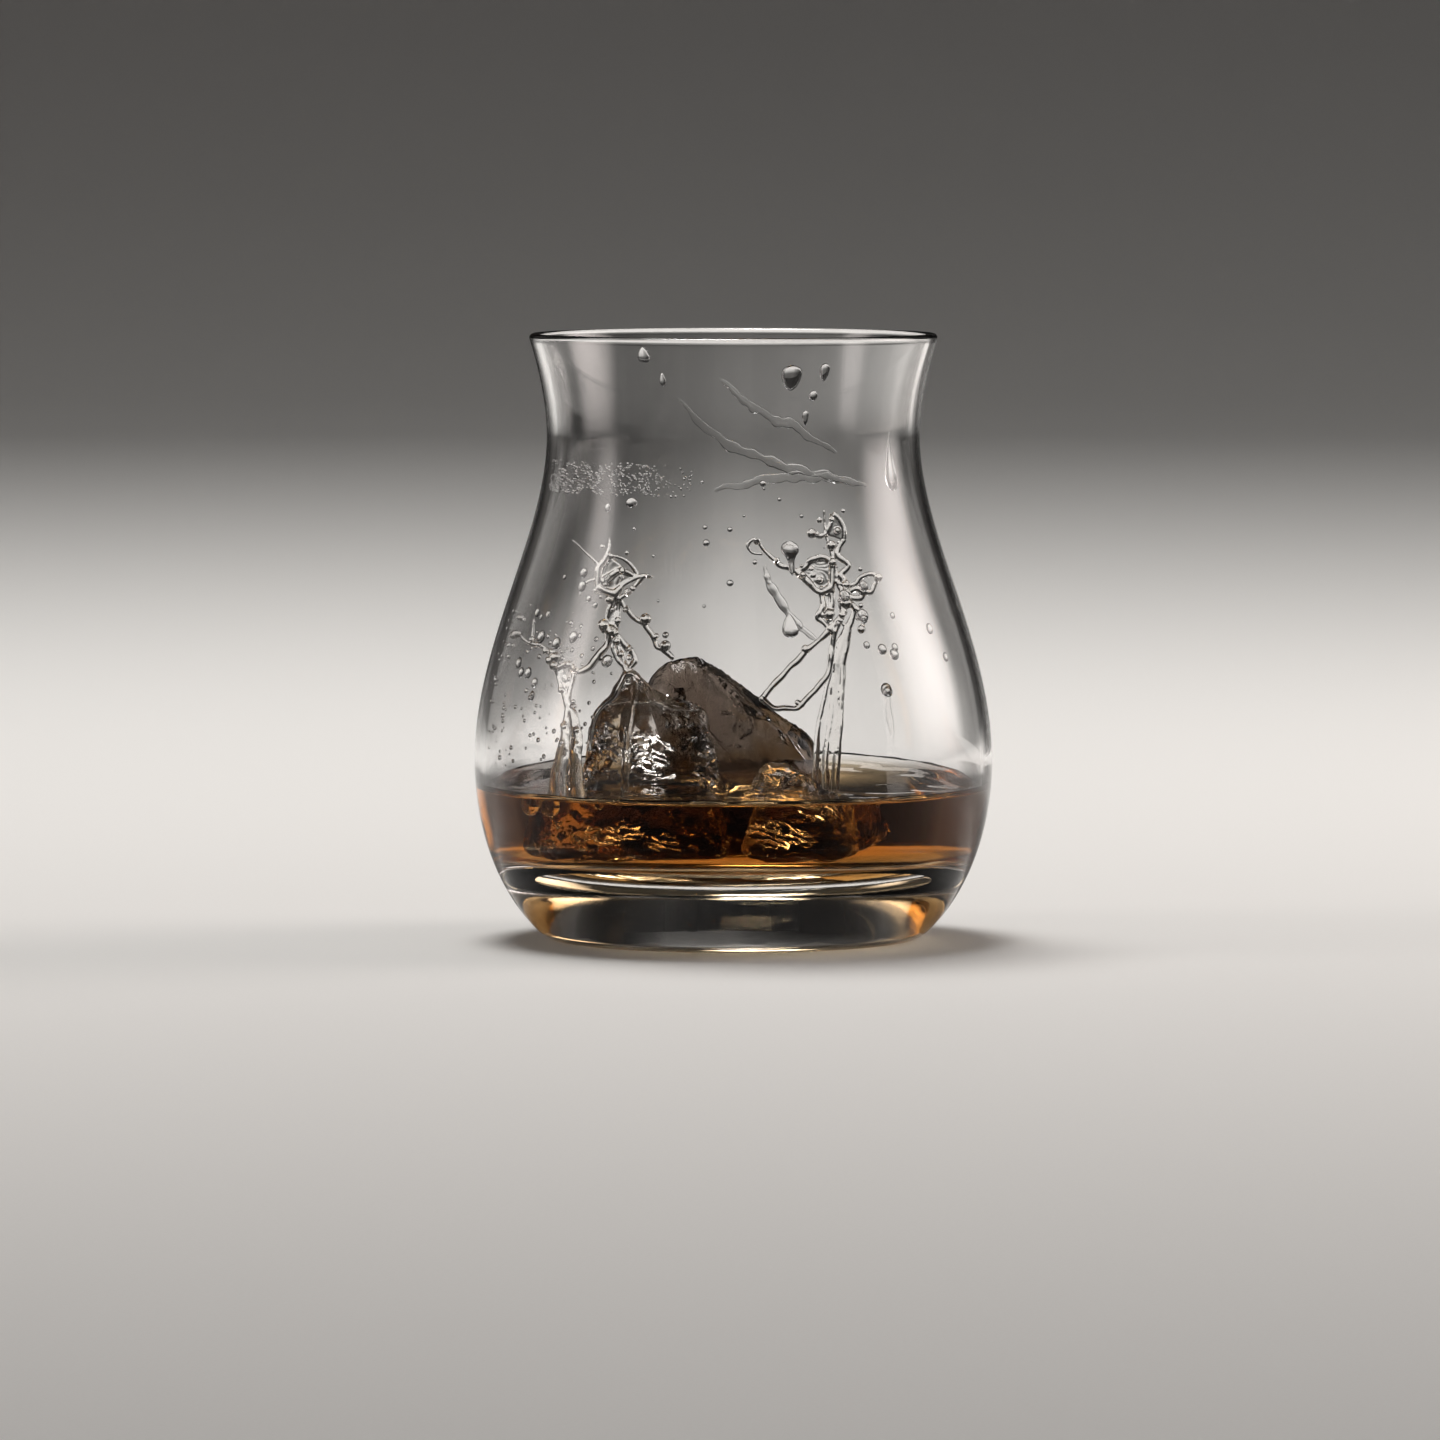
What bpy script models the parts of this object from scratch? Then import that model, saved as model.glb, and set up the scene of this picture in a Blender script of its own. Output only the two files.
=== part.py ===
# A whisky mixer glass, served: a heavy-based crystal tumbler with a waist and a flared rim,
# the whisky in it, three rocks of ice, the splash they threw up and the drops left on the wall.
# Metres, +Z up, origin at the centre of the foot on the table, front towards -Y.

import math

import bmesh
import bpy
from mathutils import Matrix, Vector

MM = 0.001

# The outside of the glass, from the table up
FOOT_RADIUS = 32.0 * MM
FOOT_RING_WIDTH = 6.4 * MM
FOOT_EDGE = 1.2 * MM
PUNT_DEPTH = 1.4 * MM
BELLY_RADIUS = 44.5 * MM
BELLY_HEIGHT = 30.5 * MM
WAIST_RADIUS = 32.0 * MM
WAIST_HEIGHT = 86.5 * MM
RIM_RADIUS = 35.0 * MM
GLASS_HEIGHT = 104.0 * MM

# How far each stretch runs upright before it turns, and how much of an ellipse the lower curve takes
BELLY_REACH = 20.5 * MM
WAIST_REACH = 17.0 * MM
FLARE_REACH = 7.0 * MM
LOWER_CURVE = math.radians(60)

# The wall, and the floor of the bowl above the heavy base
RIM_WALL = 1.5 * MM
WAIST_WALL = 1.8 * MM
BELLY_WALL = 2.3 * MM
FLOOR_HEIGHT = 12.0 * MM
FLOOR_SQUARENESS = 4.5

# The drink: its level at the front wall, and how far the slosh climbs the back wall
WHISKY_DEPTH = 13.6 * MM
BACK_RISE = 2.8 * MM

# Clearances: what lies on what, the whisky left under each rock, and the room between rocks
SEAT_GAP = 0.3 * MM
FILM_UNDER_ICE = 2.0 * MM
ROCK_SPACING = 2.2 * MM

# How finely round things are cut
GLASS_SIDES = 48
CURVE_STEPS = 9
LIP_STEPS = 5
WHISKY_RINGS = 7
BALL_CUTS = 2
THREAD_ROUNDNESS = 1
THREAD_STEPS = 3
DROP_SIDES = 12
DROP_RINGS = 8
MERGE = 0.001 * MM

# The ice: width, depth and height of each rock, and the ball that rounds its corners.
# A corner is where that ball stands, as shares of the half width, the half depth and the height.
FLAT_BASE = [(-1, -1, 0), (1, -1, 0), (1, 1, 0), (-1, 1, 0)]
LEFT_ROCK = {
    "width": 25.6 * MM,
    "depth": 15.0 * MM,
    "height": 28.8 * MM,
    "round": 2.4 * MM,
    "corners": FLAT_BASE + [(-0.82, -0.2, 0.76), (-0.43, -0.55, 1.0), (0.66, -0.25, 0.84), (-0.05, 0.8, 0.92)],
}
BACK_ROCK = {
    "width": 32.0 * MM,
    "depth": 16.5 * MM,
    "height": 32.6 * MM,
    "round": 5.0 * MM,
    "corners": FLAT_BASE + [(-0.96, -0.1, 0.92), (-0.70, 0.35, 1.0), (-0.2, -0.5, 0.80), (0.80, 0.0, 0.53)],
}
RIGHT_ROCK = {
    "width": 15.0 * MM,
    "depth": 13.0 * MM,
    "height": 17.0 * MM,
    "round": 3.6 * MM,
    "corners": FLAT_BASE + [(-0.5, -0.2, 1.0), (0.9, 0.2, 0.75), (0.4, -0.7, 0.85)],
}
LEFT_ROCK_FROM_AXIS = 0.9 * MM
LEFT_ROCK_FORWARD = 1.0 * MM
RIGHT_ROCK_FROM_AXIS = 1.5 * MM
RIGHT_ROCK_FORWARD = 9.0 * MM
BACK_ROCK_TO_RIGHT = 0.2 * MM

# The splash: how high each one is thrown above the whisky, and its threads.
# A thread is a run of points, each as shares of the bowl's radius across and back and of the splash's
# height, with its thickness there as a share of the usual thread. A branch starts on another thread.
THREAD_RADIUS = 1.0 * MM
LEFT_THROW = 41.0 * MM
LEFT_THREADS = {
    "rope": [
        (-0.43, -0.29, 0.00, 2.3), (-0.43, -0.29, 0.16, 1.5), (-0.44, -0.30, 0.32, 1.0),
        (-0.45, -0.30, 0.43, 0.9), (-0.47, -0.31, 0.55, 1.1), (-0.51, -0.32, 0.67, 0.9),
        (-0.49, -0.32, 0.77, 0.8), (-0.48, -0.33, 0.85, 0.9), (-0.49, -0.33, 0.91, 0.8),
    ],
    "crown_left": [
        (-0.48, -0.33, 0.85, 0.9), (-0.55, -0.34, 0.90, 0.7), (-0.52, -0.35, 0.98, 0.9),
    ],
    "crown_right": [
        (-0.48, -0.33, 0.85, 0.9), (-0.41, -0.32, 0.87, 0.7), (-0.34, -0.31, 0.90, 0.9),
    ],
    "arc_right": [
        (-0.49, -0.32, 0.77, 0.8), (-0.39, -0.29, 0.71, 0.6), (-0.33, -0.27, 0.62, 0.7),
        (-0.28, -0.26, 0.55, 0.9),
    ],
}
SPRAY_THROW = 25.5 * MM
SPRAY_THREADS = {
    "column": [
        (-0.67, -0.28, 0.00, 1.8), (-0.67, -0.28, 0.28, 1.1), (-0.70, -0.29, 0.60, 0.8),
        (-0.71, -0.29, 0.80, 1.0), (-0.70, -0.30, 0.92, 0.9),
    ],
    "left": [
        (-0.71, -0.29, 0.80, 1.0), (-0.76, -0.28, 0.90, 0.7), (-0.81, -0.26, 1.00, 0.9),
    ],
    "right": [
        (-0.71, -0.29, 0.80, 1.0), (-0.64, -0.31, 0.77, 0.7), (-0.59, -0.33, 0.83, 0.8),
    ],
}
RIGHT_THROW = 46.0 * MM
RIGHT_THREADS = {
    "column": [
        (0.42, 0.06, 0.00, 2.2), (0.42, 0.06, 0.17, 1.5), (0.44, 0.06, 0.36, 1.2),
        (0.46, 0.06, 0.53, 1.1), (0.47, 0.06, 0.64, 1.4), (0.43, 0.05, 0.73, 1.5),
        (0.40, 0.05, 0.83, 1.2), (0.39, 0.05, 0.92, 1.1), (0.43, 0.05, 0.98, 1.0),
    ],
    "tuft": [
        (0.43, 0.05, 0.73, 1.5), (0.53, 0.05, 0.75, 1.0), (0.59, 0.05, 0.79, 1.0),
    ],
    "tendril": [
        (0.40, 0.05, 0.83, 1.2), (0.31, 0.03, 0.80, 0.9), (0.22, 0.02, 0.82, 0.7),
        (0.10, 0.0, 0.88, 1.1),
    ],
    "high_thread": [
        (0.47, 0.06, 0.64, 1.4), (0.35, 0.08, 0.55, 0.8), (0.25, 0.10, 0.46, 0.7),
        (0.12, 0.11, 0.33, 0.8),
    ],
    "low_thread": [
        (0.46, 0.06, 0.53, 1.1), (0.38, 0.01, 0.38, 0.7), (0.30, -0.01, 0.27, 0.7),
        (0.20, 0.0, 0.22, 0.7), (0.13, 0.05, 0.26, 0.8),
    ],
}
TIP_NARROWING = 0.4

# The drops on the inside of the wall: angle round from the front towards +X, distance below the rim,
# width, length, and taper, which narrows the top of a hanging drop and, below zero, its foot.
DROPS = {
    "drop_under_rim": (-27.0, 2.7 * MM, 2.4 * MM, 2.8 * MM, 0.15),
    "drop_below_rim": (-21.8, 6.9 * MM, 1.2 * MM, 2.4 * MM, 0.2),
    "drop_high_large": (17.6, 6.6 * MM, 3.6 * MM, 4.4 * MM, -0.25),
    "drop_high_long": (28.1, 5.7 * MM, 1.9 * MM, 3.1 * MM, -0.2),
    "drop_high_round": (25.1, 9.7 * MM, 1.6 * MM, 1.8 * MM, 0.0),
    "drop_high_small": (22.9, 13.5 * MM, 1.2 * MM, 2.6 * MM, -0.3),
    "drop_running": (57.8, 21.4 * MM, 3.5 * MM, 10.4 * MM, 0.45),
    "drop_mushroom": (16.1, 37.2 * MM, 3.2 * MM, 5.8 * MM, -0.45),
    "drop_low": (14.3, 48.4 * MM, 2.8 * MM, 4.0 * MM, 0.3),
    "drop_side": (86.0, 47.1 * MM, 1.4 * MM, 2.8 * MM, 0.1),
    "drop_left_wall": (-32.3, 28.1 * MM, 2.2 * MM, 1.8 * MM, 0.0),
    "drop_left_bead": (-40.9, 29.1 * MM, 1.2 * MM, 1.6 * MM, 0.1),
}
DROP_THICKNESS = 0.42

BOWL_RADIUS = BELLY_RADIUS - BELLY_WALL
WHISKY_LEVEL = FLOOR_HEIGHT + WHISKY_DEPTH
ROCK_BOTTOM = FLOOR_HEIGHT + 2 * SEAT_GAP + FILM_UNDER_ICE


def clear_scene():
    for old in list(bpy.data.objects):
        bpy.data.objects.remove(old)


def material(name, colour, roughness, transmission, ior):
    made = bpy.data.materials.new(name)
    made.use_nodes = True
    shader = made.node_tree.nodes["Principled BSDF"]
    shader.inputs["Base Color"].default_value = (*colour, 1)
    shader.inputs["Metallic"].default_value = 0
    shader.inputs["Roughness"].default_value = roughness
    shader.inputs["Transmission Weight"].default_value = transmission
    shader.inputs["IOR"].default_value = ior
    made.diffuse_color = (*colour, 1)
    return made


def add_object(name, bm, finish=None):
    mesh = bpy.data.meshes.new(name)
    bm.to_mesh(mesh)
    bm.free()
    mesh.shade_smooth()
    mesh.set_sharp_from_angle(angle=math.radians(35))
    made = bpy.data.objects.new(name, mesh)
    bpy.context.scene.collection.objects.link(made)
    if finish:
        mesh.materials.append(finish)
    return made


def as_helper(helper):
    helper.hide_render = True
    helper.display_type = "WIRE"
    return helper


# Curves in the plane of the profile, as lists of (radius, height)


def bezier(points, steps):
    """Points along a Bezier curve of any degree, its first point left out."""
    run = []
    for step in range(1, steps + 1):
        share = step / steps
        level = [Vector(p) for p in points]
        while len(level) > 1:
            level = [a.lerp(b, share) for a, b in zip(level, level[1:])]
        run.append(tuple(level[0]))
    return run


def upper_wall(belly, waist, rim, rim_height):
    """The side from the belly up to the rim, for a wall of these three radii."""
    shoulder = [
        (belly, BELLY_HEIGHT),
        (belly, BELLY_HEIGHT + BELLY_REACH),
        (waist, WAIST_HEIGHT - WAIST_REACH),
        (waist, WAIST_HEIGHT),
    ]
    flare = [(waist, WAIST_HEIGHT), (waist, WAIST_HEIGHT + FLARE_REACH), (rim, rim_height)]
    return [shoulder[0]] + bezier(shoulder, CURVE_STEPS) + bezier(flare, CURVE_STEPS // 2)


def foot_and_lower_curve():
    """The underside from the axis out, the foot ring, and the lower curve up to just below the belly."""
    ring = FOOT_RADIUS - FOOT_RING_WIDTH
    punt = [(ring * step / 3, PUNT_DEPTH * (1 - (step / 3) ** 2)) for step in range(4)]
    across = (BELLY_RADIUS - FOOT_RADIUS) / (1 - math.cos(LOWER_CURVE))
    down = BELLY_HEIGHT / math.sin(LOWER_CURVE)
    curve = []
    for step in range(1, CURVE_STEPS):
        turn = LOWER_CURVE * (1 - step / CURVE_STEPS)
        curve.append((BELLY_RADIUS - across * (1 - math.cos(turn)), BELLY_HEIGHT - down * math.sin(turn)))
    edge = bezier([(FOOT_RADIUS - FOOT_EDGE, 0), (FOOT_RADIUS, 0), curve[0]], 3)
    return punt + [(FOOT_RADIUS - FOOT_EDGE, 0)] + edge + curve[1:]


def lip():
    """The rounded lip, from outside over the top."""
    radius = RIM_WALL / 2
    middle = RIM_RADIUS - radius
    run = []
    for step in range(1, LIP_STEPS):
        turn = math.pi * step / LIP_STEPS
        run.append((middle + radius * math.cos(turn), GLASS_HEIGHT - radius + radius * math.sin(turn)))
    return run


def bowl_floor(radius, floor):
    """The inside of the bowl below the belly: flat in the middle, turning up at the side."""
    depth = BELLY_HEIGHT - floor
    power = 2 / FLOOR_SQUARENESS
    run = []
    for step in range(CURVE_STEPS + 1):
        turn = math.pi / 2 * step / CURVE_STEPS
        run.append((radius * math.sin(turn) ** power, BELLY_HEIGHT - depth * math.cos(turn) ** power))
    return run


def inner_wall(gap=0.0):
    """The inside of the glass from the middle of its floor to the lip, drawn in by a gap."""
    floor = bowl_floor(BOWL_RADIUS - gap, FLOOR_HEIGHT + gap)
    side = upper_wall(
        BOWL_RADIUS - gap,
        WAIST_RADIUS - WAIST_WALL - gap,
        RIM_RADIUS - RIM_WALL - gap,
        GLASS_HEIGHT - RIM_WALL / 2,
    )
    return floor + side[1:]


def wall_at(height, gap=0.0):
    """The inner wall's radius at a height, and how its radius changes as it rises."""
    wall = inner_wall(gap)
    for (r0, z0), (r1, z1) in zip(wall, wall[1:]):
        if z0 <= height <= z1 and z1 > z0:
            slope = (r1 - r0) / (z1 - z0)
            return r0 + slope * (height - z0), slope
    return wall[-1][0], 0.0


# The glass


def make_glass(finish):
    side = upper_wall(BELLY_RADIUS, WAIST_RADIUS, RIM_RADIUS, GLASS_HEIGHT - RIM_WALL / 2)
    profile = foot_and_lower_curve() + side + lip() + inner_wall()[::-1]
    bm = bmesh.new()
    verts = [bm.verts.new((radius, 0, height)) for radius, height in profile]
    edges = [bm.edges.new(pair) for pair in zip(verts, verts[1:])]
    turned = {"axis": (0, 0, 1), "cent": (0, 0, 0), "angle": 2 * math.pi, "steps": GLASS_SIDES}
    bmesh.ops.spin(bm, geom=verts + edges, use_merge=True, **turned)
    bmesh.ops.remove_doubles(bm, verts=bm.verts, dist=MERGE)
    bmesh.ops.recalc_face_normals(bm, faces=bm.faces)
    return add_object("glass_body", bm, finish)


# The whisky


def whisky_height(y):
    """The drink's surface: level at the front wall, and climbing the back wall."""
    back = (1 + y / BOWL_RADIUS) / 2
    return WHISKY_LEVEL + BACK_RISE * back * back


def whisky_rings():
    """Rings of points: up the wall from the floor, then in across the surface. The two poles are left out."""
    turns = [2 * math.pi * side / GLASS_SIDES for side in range(GLASS_SIDES)]
    floor = [p for p in inner_wall(SEAT_GAP) if p[1] <= FLOOR_HEIGHT + WHISKY_DEPTH / 2]
    rings = [[Vector((r * math.cos(t), r * math.sin(t), z)) for t in turns] for r, z in floor[1:]]
    low = floor[-1][1]
    for ring in range(1, WHISKY_RINGS + 1):
        points = []
        for turn in turns:
            shore = whisky_height(BOWL_RADIUS * math.sin(turn))
            height = low + (shore - low) * ring / WHISKY_RINGS
            radius = wall_at(height, SEAT_GAP)[0]
            points.append(Vector((radius * math.cos(turn), radius * math.sin(turn), height)))
        rings.append(points)
    shore = rings[-1]
    for ring in range(1, WHISKY_RINGS):
        share = 1 - ring / WHISKY_RINGS
        rings.append([Vector((p.x * share, p.y * share, whisky_height(p.y * share))) for p in shore])
    return rings


def make_whisky(finish, wells):
    bm = bmesh.new()
    rings = [[bm.verts.new(p) for p in ring] for ring in whisky_rings()]
    bottom = bm.verts.new((0, 0, FLOOR_HEIGHT + SEAT_GAP))
    top = bm.verts.new((0, 0, whisky_height(0)))
    for low, high in zip(rings, rings[1:]):
        for side in range(GLASS_SIDES):
            after = (side + 1) % GLASS_SIDES
            bm.faces.new((low[side], low[after], high[after], high[side]))
    for side in range(GLASS_SIDES):
        after = (side + 1) % GLASS_SIDES
        bm.faces.new((bottom, rings[0][after], rings[0][side]))
        bm.faces.new((top, rings[-1][side], rings[-1][after]))
    bmesh.ops.recalc_face_normals(bm, faces=bm.faces)
    whisky = add_object("whisky", bm, finish)
    for well in wells:
        cut = whisky.modifiers.new(well.name, "BOOLEAN")
        cut.operation = "DIFFERENCE"
        cut.solver = "EXACT"
        cut.object = well
    return whisky


# The ice


def ball_points(radius):
    bm = bmesh.new()
    bmesh.ops.create_icosphere(bm, subdivisions=BALL_CUTS, radius=radius)
    points = [v.co.copy() for v in bm.verts]
    bm.free()
    return points


def rock_points(rock, gap=0.0):
    """The balls at a rock's corners, grown by a gap, about the middle of the rock's underside."""
    radius = rock["round"]
    ball = ball_points(radius + gap)
    points = []
    for across, back, up in rock["corners"]:
        corner = Vector((
            across * (rock["width"] / 2 - radius),
            back * (rock["depth"] / 2 - radius),
            radius + up * (rock["height"] - 2 * radius),
        ))
        points += [corner + p for p in ball]
    return points


def hull(points):
    bm = bmesh.new()
    verts = [bm.verts.new(p) for p in points]
    made = bmesh.ops.convex_hull(bm, input=verts)
    spare = {v for v in made["geom_interior"] + made["geom_unused"] if isinstance(v, bmesh.types.BMVert)}
    bmesh.ops.delete(bm, geom=list(spare), context="VERTS")
    bmesh.ops.recalc_face_normals(bm, faces=bm.faces)
    return bm


def make_rock(name, rock, place, finish):
    """A rock of ice and the well that it stands in, open upwards so that the rock lifts out."""
    ice = add_object(name, hull(rock_points(rock)), finish)
    ice.location = place
    grown = rock_points(rock, SEAT_GAP)
    above = Vector((0, 0, rock["height"]))
    well = as_helper(add_object(name + "_well", hull(grown + [p + above for p in grown])))
    well.location = place
    return ice, well


def rock_places():
    left = Vector((-LEFT_ROCK_FROM_AXIS - LEFT_ROCK["width"] / 2, -LEFT_ROCK_FORWARD, ROCK_BOTTOM))
    back_face = left.y + LEFT_ROCK["depth"] / 2
    back = Vector((BACK_ROCK_TO_RIGHT, back_face + ROCK_SPACING + BACK_ROCK["depth"] / 2, ROCK_BOTTOM))
    right = Vector((RIGHT_ROCK_FROM_AXIS + RIGHT_ROCK["width"] / 2, -RIGHT_ROCK_FORWARD, ROCK_BOTTOM))
    return left, back, right


# The splash


def thread_places(thread, throw):
    """A thread's points in the bowl with their radii, and a small tip past the last to round its end."""
    run = []
    for across, back, up, thickness in thread:
        radius = thickness * THREAD_RADIUS
        foot = whisky_height(back * BOWL_RADIUS + radius) + SEAT_GAP
        run.append((Vector((across * BOWL_RADIUS, back * BOWL_RADIUS, foot + up * throw)), radius))
    before = run[-2][0]
    end, radius = run[-1]
    run.append((end + (end - before).normalized() * radius, radius * TIP_NARROWING))
    return run


def thread_tube(name, thread, throw):
    """One thread of whisky as a mesh: a smooth closed tube through its points."""
    places = thread_places(thread, throw)
    line = bpy.data.curves.new(name, "CURVE")
    line.dimensions = "3D"
    line.bevel_depth = 1.0
    line.bevel_resolution = THREAD_ROUNDNESS
    line.resolution_u = THREAD_STEPS
    line.use_fill_caps = True
    run = line.splines.new("BEZIER")
    run.bezier_points.add(len(places) - 1)
    for point, (place, radius) in zip(run.bezier_points, places):
        point.co = place
        point.radius = radius
        point.handle_left_type = "AUTO"
        point.handle_right_type = "AUTO"
    drawn = bpy.data.objects.new(name, line)
    bpy.context.scene.collection.objects.link(drawn)
    bpy.context.view_layer.update()
    mesh = bpy.data.meshes.new_from_object(drawn.evaluated_get(bpy.context.evaluated_depsgraph_get()))
    bpy.data.objects.remove(drawn)
    bm = bmesh.new()
    bm.from_mesh(mesh)
    bmesh.ops.remove_doubles(bm, verts=bm.verts, dist=MERGE)
    bmesh.ops.recalc_face_normals(bm, faces=bm.faces)
    return bm


def make_splash(name, threads, throw, finish):
    """Threads of whisky thrown up together: the first stands on the whisky, and the others branch from it."""
    splash = None
    for part, thread in threads.items():
        bm = thread_tube(part, thread, throw)
        if splash is None:
            splash = add_object(name, bm, finish)
            continue
        join = splash.modifiers.new(part, "BOOLEAN")
        join.operation = "UNION"
        join.solver = "EXACT"
        join.object = as_helper(add_object(name + "_" + part, bm))
    return splash


# The drops


def make_drop(name, drop, finish):
    """A bead on the inner wall: a flattened ball, narrowed towards one end, its flat side to the wall."""
    angle, below_rim, width, length, taper = drop
    height = GLASS_HEIGHT - below_rim
    thick = width * DROP_THICKNESS
    bm = bmesh.new()
    bmesh.ops.create_uvsphere(bm, u_segments=DROP_SIDES, v_segments=DROP_RINGS, radius=0.5)
    for vert in bm.verts:
        narrow = 1 - taper * 2 * vert.co.z
        vert.co = Vector((vert.co.x * width * narrow, vert.co.y * thick * narrow, vert.co.z * length))
    bead = add_object(name, bm, finish)
    radius, slope = wall_at(height)
    turn = math.radians(angle)
    lean = math.atan(slope)
    widest = 1 + abs(taper)
    off_wall = SEAT_GAP + thick * widest / 2 + length * length / (8 * BELLY_RADIUS)
    out = Vector((math.sin(turn), -math.cos(turn), 0))
    along_wall = Matrix.Rotation(turn, 3, "Z") @ Matrix.Rotation(lean, 3, "X")
    inward = along_wall @ Vector((0, 1, 0))
    bead.location = out * radius + Vector((0, 0, height)) + inward * off_wall
    bead.rotation_euler = along_wall.to_euler()
    return bead


def main():
    clear_scene()
    crystal = material("crystal_glass", (0.93, 0.94, 0.95), 0.0, 1.0, 1.52)
    amber = material("whisky", (0.55, 0.25, 0.06), 0.0, 1.0, 1.36)
    clear_ice = material("ice", (0.88, 0.90, 0.92), 0.05, 1.0, 1.31)
    thrown = material("splash", (0.80, 0.70, 0.58), 0.0, 1.0, 1.36)
    water = material("drop", (0.90, 0.91, 0.92), 0.0, 1.0, 1.33)

    make_glass(crystal)
    names = ("ice_rock_left", "ice_rock_back", "ice_rock_right")
    rocks = (LEFT_ROCK, BACK_ROCK, RIGHT_ROCK)
    wells = [make_rock(*each, clear_ice)[1] for each in zip(names, rocks, rock_places())]
    make_whisky(amber, wells)
    make_splash("splash_left", LEFT_THREADS, LEFT_THROW, thrown)
    make_splash("splash_spray", SPRAY_THREADS, SPRAY_THROW, thrown)
    make_splash("splash_right", RIGHT_THREADS, RIGHT_THROW, thrown)
    for name, drop in DROPS.items():
        make_drop(name, drop, water)


main()
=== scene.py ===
import bisect
import math
import random

import bmesh
import bpy
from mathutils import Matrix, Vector, noise


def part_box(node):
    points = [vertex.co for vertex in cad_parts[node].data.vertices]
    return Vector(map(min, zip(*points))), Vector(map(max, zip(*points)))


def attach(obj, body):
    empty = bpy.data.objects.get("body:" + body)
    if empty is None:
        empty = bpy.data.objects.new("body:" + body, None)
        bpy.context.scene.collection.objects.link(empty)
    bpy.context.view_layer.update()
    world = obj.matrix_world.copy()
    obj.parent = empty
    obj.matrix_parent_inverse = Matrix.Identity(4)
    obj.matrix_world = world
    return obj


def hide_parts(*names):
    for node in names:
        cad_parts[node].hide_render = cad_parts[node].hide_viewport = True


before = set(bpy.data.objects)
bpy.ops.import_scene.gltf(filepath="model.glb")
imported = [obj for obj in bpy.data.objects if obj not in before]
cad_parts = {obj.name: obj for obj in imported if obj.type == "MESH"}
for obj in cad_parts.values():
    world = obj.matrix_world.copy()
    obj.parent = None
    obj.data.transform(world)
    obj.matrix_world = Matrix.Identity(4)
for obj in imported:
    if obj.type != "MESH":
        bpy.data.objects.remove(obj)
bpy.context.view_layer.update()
scene = bpy.context.scene
mm = 0.001
weld = 0.002 * mm  # points nearer than this are one
drinkBody = "glass_and_drink"
print("frame loaded:", len(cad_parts), "nodes")


def toLinear(hexCode):
    shares = [int(hexCode[i:i + 2], 16) / 255 for i in (1, 3, 5)]
    return [s / 12.92 if s <= 0.04045 else ((s + 0.055) / 1.055) ** 2.4 for s in shares] + [1.0]


def addNode(tree, kind, settings={}, values={}, links={}):
    node = tree.nodes.new(kind)
    for key, value in settings.items():
        setattr(node, key, value)
    for key, value in values.items():
        node.inputs[key].default_value = value
    for key, source in links.items():
        tree.links.new(source, node.inputs[key])
    return node


def between(a, b, share):
    return a + (b - a) * share


def maths(tree, operation, *terms):
    # one sum of sockets and numbers
    values = {i: term for i, term in enumerate(terms) if isinstance(term, float)}
    links = {i: term for i, term in enumerate(terms) if not isinstance(term, float)}
    return addNode(tree, "ShaderNodeMath", {"operation": operation}, values, links).outputs[0]


def splitVector(tree, vector):
    return addNode(tree, "ShaderNodeSeparateXYZ", links={0: vector}).outputs


def joinVector(tree, parts):
    return addNode(tree, "ShaderNodeCombineXYZ", links=parts).outputs[0]


def pointPosition(tree):
    return addNode(tree, "GeometryNodeInputPosition").outputs[0]


def namedValue(tree, name):
    # a number kept at each point, see markPoints
    kept = addNode(tree, "GeometryNodeInputNamedAttribute", {"data_type": "FLOAT"}, {"Name": name})
    return kept.outputs["Attribute"]


def markPoints(mesh, name, values):
    mesh.attributes.new(name, "FLOAT", "POINT").data.foreach_set("value", values)


def moveTo(tree, geometry, position):
    links = {"Geometry": geometry, "Position": position}
    return addNode(tree, "GeometryNodeSetPosition", links=links).outputs[0]


def startMaterial(name, values):
    made = bpy.data.materials.new(name)
    made.use_nodes = True
    tree = made.node_tree
    tree.nodes.clear()
    shader = addNode(tree, "ShaderNodeBsdfPrincipled", values=values)
    addNode(tree, "ShaderNodeOutputMaterial", links={"Surface": shader.outputs["BSDF"]})
    place = addNode(tree, "ShaderNodeTexCoord").outputs["Object"]
    return made, tree, shader, place


def startClear(name, ior):
    # something clear and smooth that bends light
    return startMaterial(name, {"Base Color": (1, 1, 1, 1), "Roughness": 0.0, "IOR": ior,
                                "Transmission Weight": 1.0})


def mottle(tree, shader, place, length, colours):
    # two near shades, mixed by a fine grain
    grain = addNode(tree, "ShaderNodeTexNoise", values={"Scale": 1 / length, "Detail": 2.0},
                    links={"Vector": place})
    shade = addNode(tree, "ShaderNodeValToRGB", links={"Fac": grain.outputs["Fac"]})
    for element, colour in zip(shade.color_ramp.elements, colours):
        element.color = toLinear(colour)
    tree.links.new(shade.outputs["Color"], shader.inputs["Base Color"])


def roughen(tree, shader, place, length, detail, depth, strength, distortion=0.0):
    # an uneven surface, with folds of that length and depth
    folds = addNode(tree, "ShaderNodeTexNoise",
                    values={"Scale": 1 / length, "Detail": detail, "Distortion": distortion},
                    links={"Vector": place})
    bump = addNode(tree, "ShaderNodeBump", values={"Strength": strength, "Distance": depth},
                   links={"Height": folds.outputs["Fac"]})
    tree.links.new(bump.outputs["Normal"], shader.inputs["Normal"])


def absorb(tree, colour, density):
    depth = addNode(tree, "ShaderNodeVolumeAbsorption",
                    values={"Color": toLinear(colour), "Density": density})
    tree.links.new(depth.outputs["Volume"], tree.nodes["Material Output"].inputs["Volume"])


def openGrid(rows, columns, first=0):
    # faces of a grid of points, in rows of one point more than there are columns
    faces = []
    for row in range(rows):
        for column in range(columns):
            a = first + row * (columns + 1) + column
            faces.append((a, a + columns + 1, a + columns + 2, a + 1))
    return faces


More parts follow.
